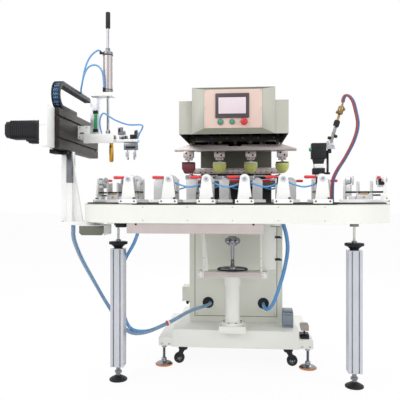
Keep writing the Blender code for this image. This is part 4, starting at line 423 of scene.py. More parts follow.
def make_repeat_tree():
    """A copy of the template on each point, turned as the point's attribute says."""
    tree, given = new_tree("repeated_part", Template="NodeSocketObject", Finish="NodeSocketMaterial")
    template = add(tree, "GeometryNodeObjectInfo", {"Object": given["Template"]}).outputs["Geometry"]
    turned = add(tree, "GeometryNodeInputNamedAttribute", {"Name": "turned"}, data_type="FLOAT_VECTOR")
    aim = add(tree, "FunctionNodeEulerToRotation", {0: turned.outputs["Attribute"]})
    links = {"Points": given["Geometry"], "Instance": template, "Rotation": aim.outputs[0]}
    spread = add(tree, "GeometryNodeInstanceOnPoints", links)
    return close_tree(tree, spread.outputs["Instances"], given["Finish"])


def make_oval_tree():
    """The conveyor's oval ring: two round-ended outlines filled between and given a height."""
    numbers = dict.fromkeys(("Straight", "Outer", "Inner", "Height"), "NodeSocketFloat")
    tree, given = new_tree("oval_ring", **numbers, Finish="NodeSocketMaterial")
    both = add(tree, "GeometryNodeJoinGeometry")
    for side in ("Outer", "Inner"):
        across = add(tree, "ShaderNodeMath", {0: given[side], 1: 2.0}, operation="MULTIPLY")
        along = add(tree, "ShaderNodeMath", {0: given["Straight"], 1: across.outputs[0]}, operation="ADD")
        size = {"Width": along.outputs[0], "Height": across.outputs[0]}
        plan = add(tree, "GeometryNodeCurvePrimitiveQuadrilateral", size)
        short = add(tree, "ShaderNodeMath", {0: given[side], 1: 0.9999}, operation="MULTIPLY")
        corners = {"Curve": plan.outputs[0], "Count": 24, "Radius": short.outputs[0]}
        rounded = add(tree, "GeometryNodeFilletCurve", corners, mode="POLY")
        tree.links.new(rounded.outputs[0], both.inputs[0])
    ring = add(tree, "GeometryNodeFillCurve", {"Curve": both.outputs[0]}, mode="TRIANGLES")
    rise = add(tree, "ShaderNodeCombineXYZ", {"Z": 1.0})
    pull = {"Mesh": ring.outputs[0], "Offset": rise.outputs[0], "Offset Scale": given["Height"]}
    raised = add(tree, "GeometryNodeExtrudeMesh", {**pull, "Individual": False})
    under = add(tree, "GeometryNodeFlipFaces", {"Mesh": ring.outputs[0]})
    shell = add(tree, "GeometryNodeJoinGeometry")
    tree.links.new(raised.outputs["Mesh"], shell.inputs[0])
    tree.links.new(under.outputs[0], shell.inputs[0])
    closed = add(tree, "GeometryNodeMergeByDistance", {"Geometry": shell.outputs[0], "Distance": 0.00001})
    return close_tree(tree, closed.outputs[0], given["Finish"])


SCREWS, REPEAT, OVAL = make_screw_tree(), make_repeat_tree(), make_oval_tree()


def grow(name, tree, points, attribute=None, values=(), **inputs):
    """Runs a tree over points, given in metres, and gives back its mesh."""
    seed = bpy.data.meshes.new(name)
    seed.from_pydata([tuple(point) for point in points], [], [])
    if attribute:
        data = seed.attributes.new(attribute, "FLOAT_VECTOR", "POINT").data
        for item, value in zip(data, values):
            item.vector = value
    carrier = stand(name, seed)
    nodes = carrier.modifiers.new("grow", "NODES")
    nodes.node_group = tree
    for item in tree.interface.items_tree:
        if item.in_out == "INPUT" and item.name in inputs:
            nodes[item.identifier] = inputs[item.name]
    bpy.context.view_layer.update()
    mesh = bpy.data.meshes.new_from_object(carrier.evaluated_get(bpy.context.evaluated_depsgraph_get()))
    bpy.data.objects.remove(carrier)
    return mesh


def grid(way, *spans):
    """Places that all face one way, at each crossing of the given X, Y and Z."""
    return [(point, way) for point in product(*spans)]


def screws(name, body, places, radius, height, finish=ZINC):
    """Socket-head screws: each place is a point and the way the head faces."""
    points = [PLACE @ Vector(point) for point, way in places]
    ways = [Vector(way).normalized() for point, way in places]
    size = {"Radius": radius / 1000, "Height": height / 1000}
    settle(name, grow(name, SCREWS, points, "facing", ways, **size, Finish=finish), body)


def repeat(name, body, form, places, sharp=26.0):
    """Copies of a form, drawn about the origin, on each place: a point and its turn about X, Y and Z."""
    template = stand("template", form.mesh("template", Matrix.Scale(0.001, 4)))
    points = [PLACE @ Vector(point) for point, turn in places]
    turns = [turn for point, turn in places]
    mesh = grow(name, REPEAT, points, "turned", turns, Template=template, Finish=form.finishes[0])
    bpy.data.objects.remove(template)
    return settle(name, mesh, body, sharp=sharp)


def oval(name, body, outer, inner, low, high, finish, *nodes):
    """A ring round the middle line of the track, between two radii and two heights."""
    sizes = {"Straight": 2 * TRACK_HALF, "Outer": outer, "Inner": inner, "Height": high - low}
    metres = {label: size / 1000 for label, size in sizes.items()}
    mesh = grow(name, OVAL, [(0, 0, 0)], **metres, Finish=finish)
    mesh.transform(Matrix.Translation(PLACE @ Vector((0, TRACK_Y, low))))
    settle(name, mesh, body, *nodes)


def make_camera():
    """A 47 mm lens 1.09 m above the floor, turned five degrees to the left."""
    data = bpy.data.cameras.new("camera")
    data.sensor_width = 36
    data.lens = 46.98
    camera = stand("camera", data)
    camera.location = SHIFT + Vector((0.069, -2.76, 1.09))
    camera.rotation_euler = (pi / 2, 0, radians(5))
    bpy.context.scene.camera = camera


def light_path_white(tree, seen, unseen):
    """White for what the camera sees, reflected or through glass too, and the plain shader otherwise."""
    path = add(tree, "ShaderNodeLightPath")
    share = path.outputs["Is Camera Ray"]
    for kind in ("Is Glossy Ray", "Is Transmission Ray"):
        share = add(tree, "ShaderNodeMath", {0: share, 1: path.outputs[kind]}, operation="MAXIMUM").outputs[0]
    return add(tree, "ShaderNodeMixShader", {0: share, 1: unseen, 2: seen}).outputs[0]


def make_stage():
    world = bpy.data.worlds.new("studio")
    bpy.context.scene.world = world
    world.use_nodes = True
    tree = world.node_tree
    tree.nodes.clear()
    white = add(tree, "ShaderNodeBackground", {"Color": (1, 1, 1, 1), "Strength": 1.0})
    soft = add(tree, "ShaderNodeBackground", {"Color": (1, 1, 1, 1), "Strength": 0.8})
    shown = light_path_white(tree, white.outputs[0], soft.outputs[0])
    add(tree, "ShaderNodeOutputWorld", {"Surface": shown})

    pale = bpy.data.materials.new("matte_paper_floor")
    pale.use_nodes = True
    tree = pale.node_tree
    shader = tree.nodes["Principled BSDF"]
    shader.inputs["Base Color"].default_value = tint("#F4F4F4")
    shader.inputs["Roughness"].default_value = 0.9
    glow = add(tree, "ShaderNodeEmission", {"Color": (1, 1, 1, 1), "Strength": 1.0})
    # What the camera sees of the floor is nearly all plain white, and the rest of it shows the shadow
    white_share = 0.92
    lit = add(tree, "ShaderNodeMixShader", {0: white_share, 1: shader.outputs[0], 2: glow.outputs[0]})
    shown = light_path_white(tree, lit.outputs[0], shader.outputs[0])
    tree.links.new(shown, tree.nodes["Material Output"].inputs["Surface"])
    mesh = bpy.data.meshes.new("floor")
    reach, level = 40, -0.0005
    corners = [(x * reach, y * reach, level) for x, y in ((-1, -1), (1, -1), (1, 1), (-1, 1))]
    mesh.from_pydata(corners, [], [(0, 1, 2, 3)])
    mesh.materials.append(pale)
    floor = stand("floor", mesh)

    # Four soft round lamps: place and size in metres, power in watts
    for name, place, size, power in (
        ("key_light", (-2.6, -3.2, 3.6), 2.6, 66),
        ("fill_light", (3.2, -2.6, 2.4), 2.8, 38),
        ("top_light", (0.0, -0.4, 4.4), 3.0, 42),
        ("back_light", (0.5, 3.6, 3.0), 2.6, 40),
    ):
        data = bpy.data.lights.new(name, "AREA")
        data.shape = "DISK"
        data.size = size
        data.energy = power
        lamp = stand(name, data)
        lamp.location = place
        lamp.rotation_euler = (Vector((0, 0, 1)) - Vector(place)).to_track_quat("-Z", "Y").to_euler()
    bpy.context.scene.view_settings.view_transform = "Standard"


make_camera()
make_stage()

# Hoses: blue bundles between the cabinet and the conveyor, and the torch's twin gas hose
HOSE_MAIN = (
    (-175, 999.7, 380), (-175, 855, 380), (-190, 790, 374), (-303, 720, 346), (-440, 650, 280),
    (-590, 575, 232), (-692, 520, 262), (-789, 470, 415.6), (-868, 430, 571.6), (-945, 395, 731.5),
    (-978, 355, 850), (-980, 350, 905), (-980, 350, 943.7),
)
HOSE_BRANCH = (
    (-440, 650, 280), (-500, 626, 256), (-590, 580, 240), (-672, 540, 272), (-712, 505, 400),
    (-718, 470, 560), (-680, 430, 710), (-605, 360, 830), (-560, 290, 920), (-545, 262, 955),
)
HOSE_RIGHT = (
    (190, 999.7, 380), (190, 855, 380), (192, 800, 366), (212, 760, 359), (246, 745, 392),
    (284, 730, 491.7), (322, 715, 627), (343, 700, 761.5), (333, 680, 861), (311, 655, 940),
    (305, 640, 1015), (305, 640, 1058.7),
)
GAS_HOSE = (
    (634.5, 350, 1662), (641, 350, 1690), (660, 350, 1703), (690, 350, 1672), (709.5, 350, 1603),
    (720, 350, 1527), (699, 350, 1440), (650, 350, 1341), (603, 350, 1265), (578, 350, 1207),
    (573, 350, 1140), (573, 350, 1069),
)


def bundle_section(tubes, samples):
    """The outline of round tubes lying together in a ring, as (share of the radius, angle) points."""
    tube = 1 / (1 + 1 / sin(pi / tubes))
    reach = 1 - tube
    section = []
    for step in range(samples):
        angle = 2 * pi * step / samples
        gap = (angle + pi / tubes) % (2 * pi / tubes) - pi / tubes
        inside = max(tube**2 - (reach * sin(gap)) ** 2, 0)
        section.append((reach * cos(gap) + inside**0.5, angle))
    return section


def make_air_hose(name, route, radius, finish, *nodes):
    points = smooth(route, 24)
    form = Form(finish).hose(points, radius, section=bundle_section(4, 28), twist=0.035)
    piece = form.made(name, "machine", *nodes, sharp=50)


def make_hoses():
    make_air_hose("air_hose_bundle_left", HOSE_MAIN, 13, TUBING_DARK, "air_hose_left")
    make_air_hose("air_hose_bundle_branch", HOSE_BRANCH, 11, TUBING)
    make_air_hose("air_hose_bundle_right", HOSE_RIGHT, 13, TUBING, "air_hose_right")
    points = smooth(GAS_HOSE, 18)
    form = Form(GAS_RED)
    for side, finish in ((-1, GAS_RED), (1, GAS_BLUE)):
        form.use(finish).hose([point + Vector((side * 5.4, side * 3, 0)) for point in points], 6.4, 16)
    piece = form.made("torch_gas_hose", None, "torch_hose", sharp=50)
    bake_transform(piece)


make_hoses()


def thread(low, turns, crest, root):
    """Outline of a turned thread of 3 mm pitch, closed at its foot."""
    points = [(0, low)]
    for step in range(turns):
        points += [(crest, low + step * 3), (root, low + 1.5 + step * 3)]
    return points


def make_base():
    form = Form(CREAM)
    form.box((-500, 624, 135), (500, 1356, 193), 6, steps=3)
    form.box((-410, 620, 131), (410, 1360, 247), 6, steps=3)
    form.box((-101, 560, 240), (69, 720, 285), 3)
    # Filter box: a moulded case, its lid over a dark line, and two dark ribs in front
    form.use(BLUE_GREY).box((311, 720, 245), (383, 800, 348), 7, steps=3)
    form.box((314, 723, 350), (380, 797, 365), 5, steps=3)
    form.use(BLACK).box((316, 725, 346), (378, 795, 352), 1)
    for z in (262, 330):
        form.box((322, 719.4, z), (372, 721, z + 3), 0.4)
    # Pedal foot: a wedge with its post and pin
    form.prism(((650, 189), (740, 189), (740, 219), (676, 219), (656, 206)), "x", 422, 478, 2)
    form.box((445, 687, 204), (455, 703, 266), 1)
    form.use(STEEL).rod((429, 695, 262), (471, 695, 262), 4, 20, 0.8)
    # Caster forks: a plate, a swivel cup, two cheeks and the axle
    cup = ((0, 94), (24, 94), (30, 100), (32, 118), (26, 128), (0, 128))
    for side, y in product((-1, 1), (700, 1290)):
        x, hub = side * 347, side * 372
        form.use(ZINC).box((x - 34, y - 30, 127), (x + 34, y + 30, 131.5), 1)
        form.use(BLACK).turn(cup, (x, y, 0), steps=32)
        cheek = [(x - 21, 108), (x + 21, 108), (hub + 13, 50), (hub + 10, 31), (hub - 10, 31), (hub - 13, 50)]
        for middle in (y - 18.5, y + 18.5):
            form.prism(cheek, "y", middle - 2.5, middle + 2.5, 0.6)
        form.use(ZINC).rod((hub, y - 23, 40), (hub, y + 23, 40), 5, 20, 1)
    form.made("base_casting", "machine", "base_block")
    heads = grid(UP, (-90, 58), (573, 707), (285,)) + grid(FRONT, (-478, -430, 430, 478), (624,), (150,))
    screws("base_screws", "machine", heads, 5.5, 5)

    # Feet: an orange rubber rim under a chromed dome, and a threaded stem with its two nuts
    rim = ((0, 0), (54, 0), (57, 2), (57, 8), (54, 11), (0, 11))
    dome = ((0, 9), (52, 9), (53, 12), (46, 18), (34, 22), (24, 24), (19, 28), (18, 36), (0, 36))
    stem = thread(30, 34, 9, 7.6) + [(9, 133), (9, 134.6), (0, 134.6)]
    for (end, y), (word, x) in product((("front", 670), ("rear", 1310)), (("left", -470), ("right", 470))):
        form = Form(ORANGE_RUBBER).turn(rim, (x, y, 0), steps=56)
        form.use(CHROME).turn(dome, (x, y, 0), steps=56).use(ZINC)
        for low, high in ((34, 47), (116, 130)):
            form.disc(17, high - low, (x, y, low), steps=6, edge=(1, 2))
        form.use(STEEL).turn(stem, (x, y, 0), steps=28)
        form.made(f"foot_{end}_{word}", "machine", f"levelling_foot_{end}_{word}")

    # Casters: a dark tyre on a light hub with five spokes
    tyre = ((15, 3), (30, 0), (34, 1.5), (35, 5), (35, 23), (34, 26.5), (30, 28), (15, 25))
    rim = ((6, 2.5), (13, 2.5), (14, 6), (15.5, 6), (15.5, 22), (14, 22), (13, 25.5), (6, 25.5))
    for (end, y), (word, x) in product((("front", 700), ("rear", 1290)), (("left", -372), ("right", 372))):
        foot = Vector((x, y - 14, 40))
        form = Form(RUBBER).turn(tyre, foot, BACK, 48, hollow=True)
        form.use(CERAMIC).turn(rim, foot, BACK, 48, hollow=True)
        form.disc(8, 25, foot + Vector((0, 1.5, 0)), BACK, 32)
        for spoke in range(5):
            turn = Matrix.Translation(foot) @ Matrix.Rotation(2 * pi * spoke / 5, 4, "Y")
            form.box((13, 2.2, -1.2), (29, 25.8, 1.2), 0.5, turn)
        form.made(f"caster_{end}_{word}_wheel", f"caster_{end}_{word}", f"caster_wheel_{end}_{word}")


def make_pedal():
    form = Form(TAUPE).box((424, 657, 276), (476, 733, 281), 1.5).box((424, 655, 246), (476, 658.5, 281), 1.5)
    for x in (424, 472.5):
        form.prism(((656, 247), (733, 266), (733, 280), (656, 280)), "x", x, x + 3.5, 0.8)
    for row in range(9):
        form.box((428, 662 + row * 8, 280), (472, 665.5 + row * 8, 283), 0.7)
    for x in (440, 460):
        outline = arc((695, 262), 8, 180, 360, 10) + [(707, 278), (683, 278)]
        form.prism(outline, "x", x - 4, x + 4, 0.5)
    form.made("pedal_treadle", "pedal", "foot_pedal")


def make_cabinet():
    dress("cabinet_shell", GREIGE, 2.5)
    dress("control_gear", ZINC)
    # Front cover: a folded sheet with painted shade in the gap round it as dark olive strips, its screws and the
    # grommets of both hoses, each hole filled by a dark rubber disc as painted shade
    form = Form(GREIGE).box((-280, 851.7, 290), (280, 855, 950), 1.2).use(OLIVE)
    for x, z, far_x, far_z in (
        (-283, 286, 283, 290.4), (-283, 949.6, 283, 954), (-284, 286, -279.6, 954), (279.6, 286, 284, 954)
    ):
        form.box((x, 853.6, z), (far_x, 855.4, far_z), 0.3)
    ring = ((26, 0), (37, 0), (39, 2), (39, 4), (36, 7), (28, 7), (26, 5))
    form.use(RUBBER)
    for x in (-190, 190):
        form.turn(ring, (x, 856, 380), FRONT, 48, hollow=True).disc(27, 2, (x, 853.4, 380), FRONT)
    form.made("cabinet_cover", "machine", "cabinet_front_cover")
    screws("cover_screws", "machine", grid(FRONT, (-266, 0, 266), (851.7,), (304, 936)), 4.5, 2.5)

    # Terminal box on the left side: a lighter lid with four screws and two cable glands below
    form = Form(WHITE).box((-383, 946, 366), (-374, 1084, 471), 3).use(BLACK)
    for y in (985, 1045):
        form.rod((-349, y, 369), (-349, y, 349), 11, 28, 2).rod((-349, y, 350), (-349, y, 340), 8, 24, 2)
    form.made("terminal_lid", "machine")
    screws("terminal_screws", "machine", grid(LEFT, (-383,), (954, 1076), (374, 463)), 3, 1.5)

    # Rear door: pressed louvres and a turn lock with its slot
    dress("rear_door", GREIGE, 1.5)
    form = Form(GREIGE)
    for row, x in product(range(9), (-150, 0, 150)):
        z = 330 + row * 18
        form.prism(((1353, z), (1353, z + 12), (1360, z + 1)), "x", x - 55, x + 55, 0.5)
    form.use(CHROME).turn(((0, 0), (13, 0), (14, 2), (12, 4), (0, 4)), (256, 1353.5, 700), BACK, 32)
    form.use(BLACK).box((253.5, 1356, 692), (258.5, 1359.5, 708), 1)
    form.made("door_louvres", "door")


def make_column():
    tube = ((0, 284), (47, 284), (47, 340), (45, 346), (45, 541), (43, 545), (0, 545))
    flange = ((0, 285.3), (70, 285.3), (72, 287), (72, 299), (70, 301), (50, 301), (47, 306), (0, 306))
    form = Form(CREAM).turn(tube, COLUMN, steps=64).turn(flange, COLUMN, steps=64)
    form.made("column_cover_tube", "machine", "column_tube")
    bolts = [(x, y, 301) for x, y in arc(COLUMN, 60, 22.5, 382.5, 8)[:-1]]
    screws("column_bolts", "machine", [(bolt, UP) for bolt in bolts], 6, 7, STEEL)

    # Lift screw with its handwheel and star knob, all one turning piece
    form = Form(CHROME).turn(thread(302, 112, 12.5, 10.9) + [(12.5, 638), (12.5, 821), (0, 821)], COLUMN)
    hub = ((0, 630.5), (24, 630.5), (25, 632), (25, 650), (21, 660), (15, 664), (0, 664))
    form.turn(hub, COLUMN, steps=48)
    wheel_z = 642
    for start, end in zip(arc(COLUMN, 20, 30, 390, 3)[:-1], arc(COLUMN, 92, 30, 390, 3)):
        form.rod((*start, wheel_z), (*end, wheel_z), 6.5, 20, tip=5)
    form.use(BLACK).turn(arc((94, wheel_z), 6, 0, 360, 14)[:-1], COLUMN, steps=80, hollow=True)
    # Star knob: seven chromed lobes on a domed hub
    hub = ((0, 797), (30, 797), (33, 801), (33, 842), (28, 852), (16, 856), (0, 856))
    form.use(CHROME).turn(hub, COLUMN)
    ball = [(15 * sin(pi * s / 10), -19 * cos(pi * s / 10)) for s in range(11)]
    for lobe in range(7):
        angle = 2 * pi * (lobe + 0.25) / 7
        form.turn(ball, (COLUMN[0] + 37 * cos(angle), COLUMN[1] + 37 * sin(angle), 825), steps=24)
    form.made("lift_screw", "column_wheel", "column_handwheel", sharp=50)


def make_lift():
    dress("lift_frame", CREAM, 1.5)
    # Crossbar: a pinkish extruded face between white end blocks, with cream cheeks and two black stops above
    form = Form(ANODISED).box((-198, 571.5, 597), (168, 575, 629), 1)
    form.box((-198, 569.8, 611), (168, 572, 615), 0.4)
    form.use(WHITE).box((-236, 570.5, 594), (-199, 576, 632), 1.5)
    form.box((169, 570.5, 594), (206, 576, 632), 1.5)
    form.use(CREAM).prism(((-232, 999), (-204, 999), (-168, 632), (-198, 632)), "y", 583, 595, 1)
    form.prism(((176, 1000), (262, 1000), (262, 652), (176, 632)), "y", 604, 610, 1).use(BLACK)
    for z in (710, 852):
        form.box((255, 596, z - 7), (290, 640, z + 7), 3).box((286, 596, z - 7), (300, 668, z), 3)
    form.made("crossbar_face", "machine")
    # Red and white clamp where both air lines leave each other
    way, spot = Vector((-0.85, -0.42, -0.3)).normalized(), Vector((-433, 654, 283))
    form = Form(WHITE).disc(17, 9, spot, way, 28, bore=13)
    form.use(RED).disc(18, 9, spot + way * 12, way, 28, bore=13)
    form.made("hose_clamp", "machine")
    heads = grid(FRONT, (-227, -208, 178, 197), (570.5,), (603, 623))
    screws("crossbar_screws", "machine", heads + grid(FRONT, (-199, 168), (575,), (660, 720, 930)), 3.5, 2)
    # Nuts, collars and necks of the stand rods
    form = Form(STEEL)
    nut = ((8, 840.4), (15, 840.4), (16, 842), (16, 850), (15, 852), (8, 852))
    collar = ((8, 950), (25.5, 950), (26, 948), (26, 937), (25.5, 935), (8, 935))
    for x in STANDS:
        form.turn(nut, (x, TRACK_Y, 0), steps=6, hollow=True).turn(collar, (x, TRACK_Y, 0), hollow=True)
        form.disc(14, 53, (x, TRACK_Y, 950), bore=8)
    form.made("stand_rod_collars", "machine")


def make_stands():
    # Section of the posts: two open slots in each of four faces
    face = [(-38.5, -40)]
    for at in (-20, 20):
        mouth = [(at - 4, -40), (at - 4, -37), (at - 9, -37), (at - 9, -33), (at - 4, -27)]
        face += mouth + [(2 * at - a, b) for a, b in reversed(mouth)]
    face.append((38.5, -40))
    outline = []
    for quarter in range(4):
        spin = quarter * pi / 2
        outline += [(a * cos(spin) - b * sin(spin), a * sin(spin) + b * cos(spin)) for a, b in face]
    sole = ((0, 0), (52, 0), (54, 2), (54, 9), (50, 13), (26, 26), (20, 30), (0, 30))
    wheel = [(9, 840), (46, 840), (52, 839), (56, 835), (56, 828), (52, 823), (40, 818), (27, 806)]
    wheel += [(25, 798.4), (9, 798.4)]
    for word, x in zip(("left", "right"), STANDS):
        place = Matrix.Translation((x, TRACK_Y, 0))
        form = Form(PROFILE).prism(outline, "z", 88, 797, 0, place)
        form.use(MILLED).box((-39.5, -39.5, 792), (39.5, 39.5, 798), 1.5, place)
        form.box((-39.5, -39.5, 88), (39.5, 39.5, 92), 1, place)
        form.made(f"slotted_profile_{word}", "machine", f"stand_profile_{word}")

        form = Form(BLACK).turn(sole, (x, TRACK_Y, 0), steps=56)
        form.use(STEEL).disc(13, 59.6, (x, TRACK_Y, 28)).disc(22, 16, (x, TRACK_Y, 44), steps=6, edge=(1, 2))
        form.made(f"disc_foot_{word}", "machine", f"stand_foot_{word}")

        form = Form(BLACK).turn(wheel, (x, TRACK_Y, 0), steps=64, hollow=True)
        for rib in arc((x, TRACK_Y), 51, 0, 360, 18)[:-1]:
            form.rod((*rib, 823), (*rib, 839), 5, 12, 1)
        form.use(CHROME).disc(20, 3, (x, TRACK_Y, 838), bore=9)
        form.made(f"stand_wheel_{word}_grip", f"stand_wheel_{word}", f"stand_handwheel_{word}")


def make_neck():
    dress("arm_neck", OLIVE, 3)
    # Bed: a ground plate with the etched printing plates on it, and the drilled clamp bar behind, its holes
    # drawn as discs of painted shade
    dress("cliche_bed", SHADOW, 1.5)
    form = Form(MILLED).box((-330, 744.8, 1214), (330, 945, 1230.1), 1.5)
    form.use(OLIVE).box((-331, 744, 1180), (331, 748, 1212), 1)
    form.use(ANODISED).box((-311, 936.6, 1274), (311, 939.5, 1318), 1).use(SHADOW)
    for hole in range(16):
        x = -291 + hole * 38.8
        form.disc(4.5, 1, (x, 936.9, 1286), FRONT, 20).disc(3, 1, (x, 936.9, 1306), FRONT, 16)
    form.made("bed_plate", "machine")
    form = Form(CLICHE)
    for x in PADS:
        form.box((max(x - 62, -328), 750, 1229.6), (min(x + 62, 328), 925, 1230.28), 0.2)
    form.made("etched_plates", "machine")


def make_cups():
    ring = ((36, 1230.4), (41, 1230.4), (42, 1232), (42, 1236), (36, 1236))
    cup = ((0, 1236), (41, 1236), (42, 1238), (42, 1254), (38, 1261), (22, 1262.3), (0, 1262.3))
    knob = ((0, 1259), (14, 1259), (14, 1266), (12, 1268.2), (0, 1268.2))
    form = Form(CERAMIC)
    for x in PADS:
        form.use(CERAMIC).turn(ring, (x, CUP_Y, 0), steps=56, hollow=True)
        form.use(CHROME).turn(cup, (x, CUP_Y, 0), steps=56)
        form.use(BLACK).turn(knob, (x, CUP_Y, 0), steps=32)
    form.use(ANODISED).box((-345, 825, 1250), (345, 845, 1260), 1)
    form.made("ink_cup_row", "cup_bar", "ink_cups")


def make_head():
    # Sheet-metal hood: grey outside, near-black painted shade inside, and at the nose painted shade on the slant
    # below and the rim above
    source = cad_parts["head_housing"]
    shape = bmesh.new()
    shape.from_mesh(source.data)
    shape.transform(PLACE.inverted() @ source.matrix_world)
    bmesh.ops.remove_doubles(shape, verts=shape.verts, dist=0.02)
    middle, nose = Vector((0, 568, 1560)), 185
    # Faces turned inward, and flat undersides behind the nose, get the near-black painted shade; at the nose the
    # downward slant and the upward rim get darker greys as painted shade
    for face in shape.faces:
        spot = face.calc_center_median()
        if face.normal.dot(spot - middle) < 0 or (face.normal.z < -0.9 and spot.y > nose + 1):
            face.material_index = 1
        elif spot.y < nose and face.normal.z < -0.2:
            face.material_index = 2
        elif spot.y < nose and face.normal.z > 0.2:
            face.material_index = 3
        else:
            face.material_index = 0
    mesh = bpy.data.meshes.new("head_hood")
    shape.to_mesh(mesh)
    shape.free()
    for finish in (HEAD_GREY, SHADOW, HEAD_SLANT_SHADE, HEAD_RIM):
        mesh.materials.append(finish)
    mesh.transform(PLACE)
    settle("head_hood", mesh, "machine", "head_housing")

    # Face panel: a pale foil on a plate, the rings of the three buttons and the corner screws
    form = Form(FOIL).box((-160.5, 126.8, 1488), (160.5, 128.7, 1702), 0.6)
    form.use(HEAD_RIM).box((-161.5, 127.6, 1487), (161.5, 128.8, 1703), 0.4).use(STEEL)
    for x, reach in ((-70, 17), (-5, 15)):
        form.disc(reach, 6.6, (x, 128, 1521), FRONT, bore=reach - 3)
    form.use(HEAD_RIM).disc(16.5, 6.6, (61, 128, 1520), FRONT, bore=13.6)
    form.made("face_foil", "machine", "control_panel")
    screws("panel_screws", "machine", grid(FRONT, (-153, 153), (127,), (1495, 1595, 1695)), 3.2, 1.6)

    # Screen: a dark moulded bezel stepping down to the glass
    form = Form(BEZEL).box((-98, 118.6, 1543), (88, 126.4, 1679), 2.5, steps=3)
    form.use(BLACK).box((-83, 118, 1563), (73, 120, 1659), 0.4)
    form.use(GLASS).box((-80.5, 117.5, 1566), (70.5, 119, 1656), 0.4)
    form.made("screen_bezel", "machine", "touch_screen")

    # Push-buttons: domed caps that sink into their rings, and the mushroom stop on its collar
    cap_back = 121.5
    for body, x, reach, front in (("start", -70, 13, 112.8), ("reset", -5, 11, 113.8)):
        rim, deep = reach - 1, cap_back - front
        cap = ((0, 0), (rim, 0), (rim, deep - 4), (rim - 2, deep - 1), (reach / 2, deep), (0, deep))
        form = Form(GREEN).turn(cap, (x, cap_back, 1521), FRONT, 44)
        form.made(f"{body}_cap", body, f"{body}_button", sharp=50)
    form = Form(BLACK).disc(13, 8, (61, cap_back, 1520), FRONT)
    mushroom = ((0, 13), (15, 13), (19, 17), (20, 21), (19, 26), (15, 30), (8, 31.6), (0, 31.6))
    form.use(RED_GLOSS).turn(mushroom, (61, 128.4, 1520), FRONT, 56)
    form.made("stop_mushroom", "stop", "emergency_stop", sharp=50)

    # Side covers: screws along the wings, and vents in the back drawn as strips of painted shade
    wings = []
    for way in (LEFT, RIGHT):
        wings += grid(way, (way[0] * 308,), (260, 620, 980, 1240), (1490, 1630))
    screws("wing_screws", "machine", wings, 4.5, 2.2)
    form = Form(SHADOW)
    for row in range(7):
        form.box((-120, 1299, 1530 + row * 18), (120, 1300.4, 1537 + row * 18), 0.3)
    form.made("head_vents", "machine")


def make_carriage():
    # Rails: ground shafts in their end blocks
    form = Form(CHROME)
    for x in RAILS:
        form.use(CHROME).rod((x, 195, RAIL_Z), (x, 1285, RAIL_Z), 12.5, 36, 1).use(MILLED)
        for y in (186.3, 1281.8):
            form.box((x - 25, y, 1515), (x + 25, y + 12, 1565), 1.5)
    form.made("rail_shafts", "machine", "guide_rails")

    # Carriage: a plate in the near-black of painted shade, with brass bushes, the post of the stroke cylinder
    # and a sleeve on each rail
    form = Form(SHADOW).box((-300, 620, 1477), (300, 720, 1505), 2)
    form.use(ANODISED_DARK).box((-300, 618.6, 1480), (300, 620.4, 1502), 0.6).use(BRASS)
    bush = ((9.6, 1463), (15, 1463), (16, 1464.5), (16, 1480), (9.6, 1480))
    for x in RODS:
        form.turn(bush, (x, BEAM_Y, 0), hollow=True)
    form.use(ANODISED_DARK).box((-30, 640, 1503), (30, 700, 1638), 2.5)
    form.box((-32, 638, 1624), (32, 702, 1640), 2.5)
    form.use(CHROME).disc(14, 15, (0, BEAM_Y, 1464), bore=7.5).use(ANODISED_DARK)
    for x in RAILS:
        form.disc(30, 80, (x, 630, RAIL_Z), BACK, bore=13.6)
        for side in (-1, 1):
            far, near = x + side * 30, x + side * 14
            form.prism([(far, 1503), (near, 1503), (near, 1526), (far, RAIL_Z)], "y", 630, 710, 0.6)
    form.made("carriage_block", "pad_carriage", "carriage_plate")
    heads = grid(FRONT, (-250, -150, -50, 50, 150, 250), (618.6,), (1491,))
    screws("carriage_screws", "pad_carriage", heads, 4, 2)


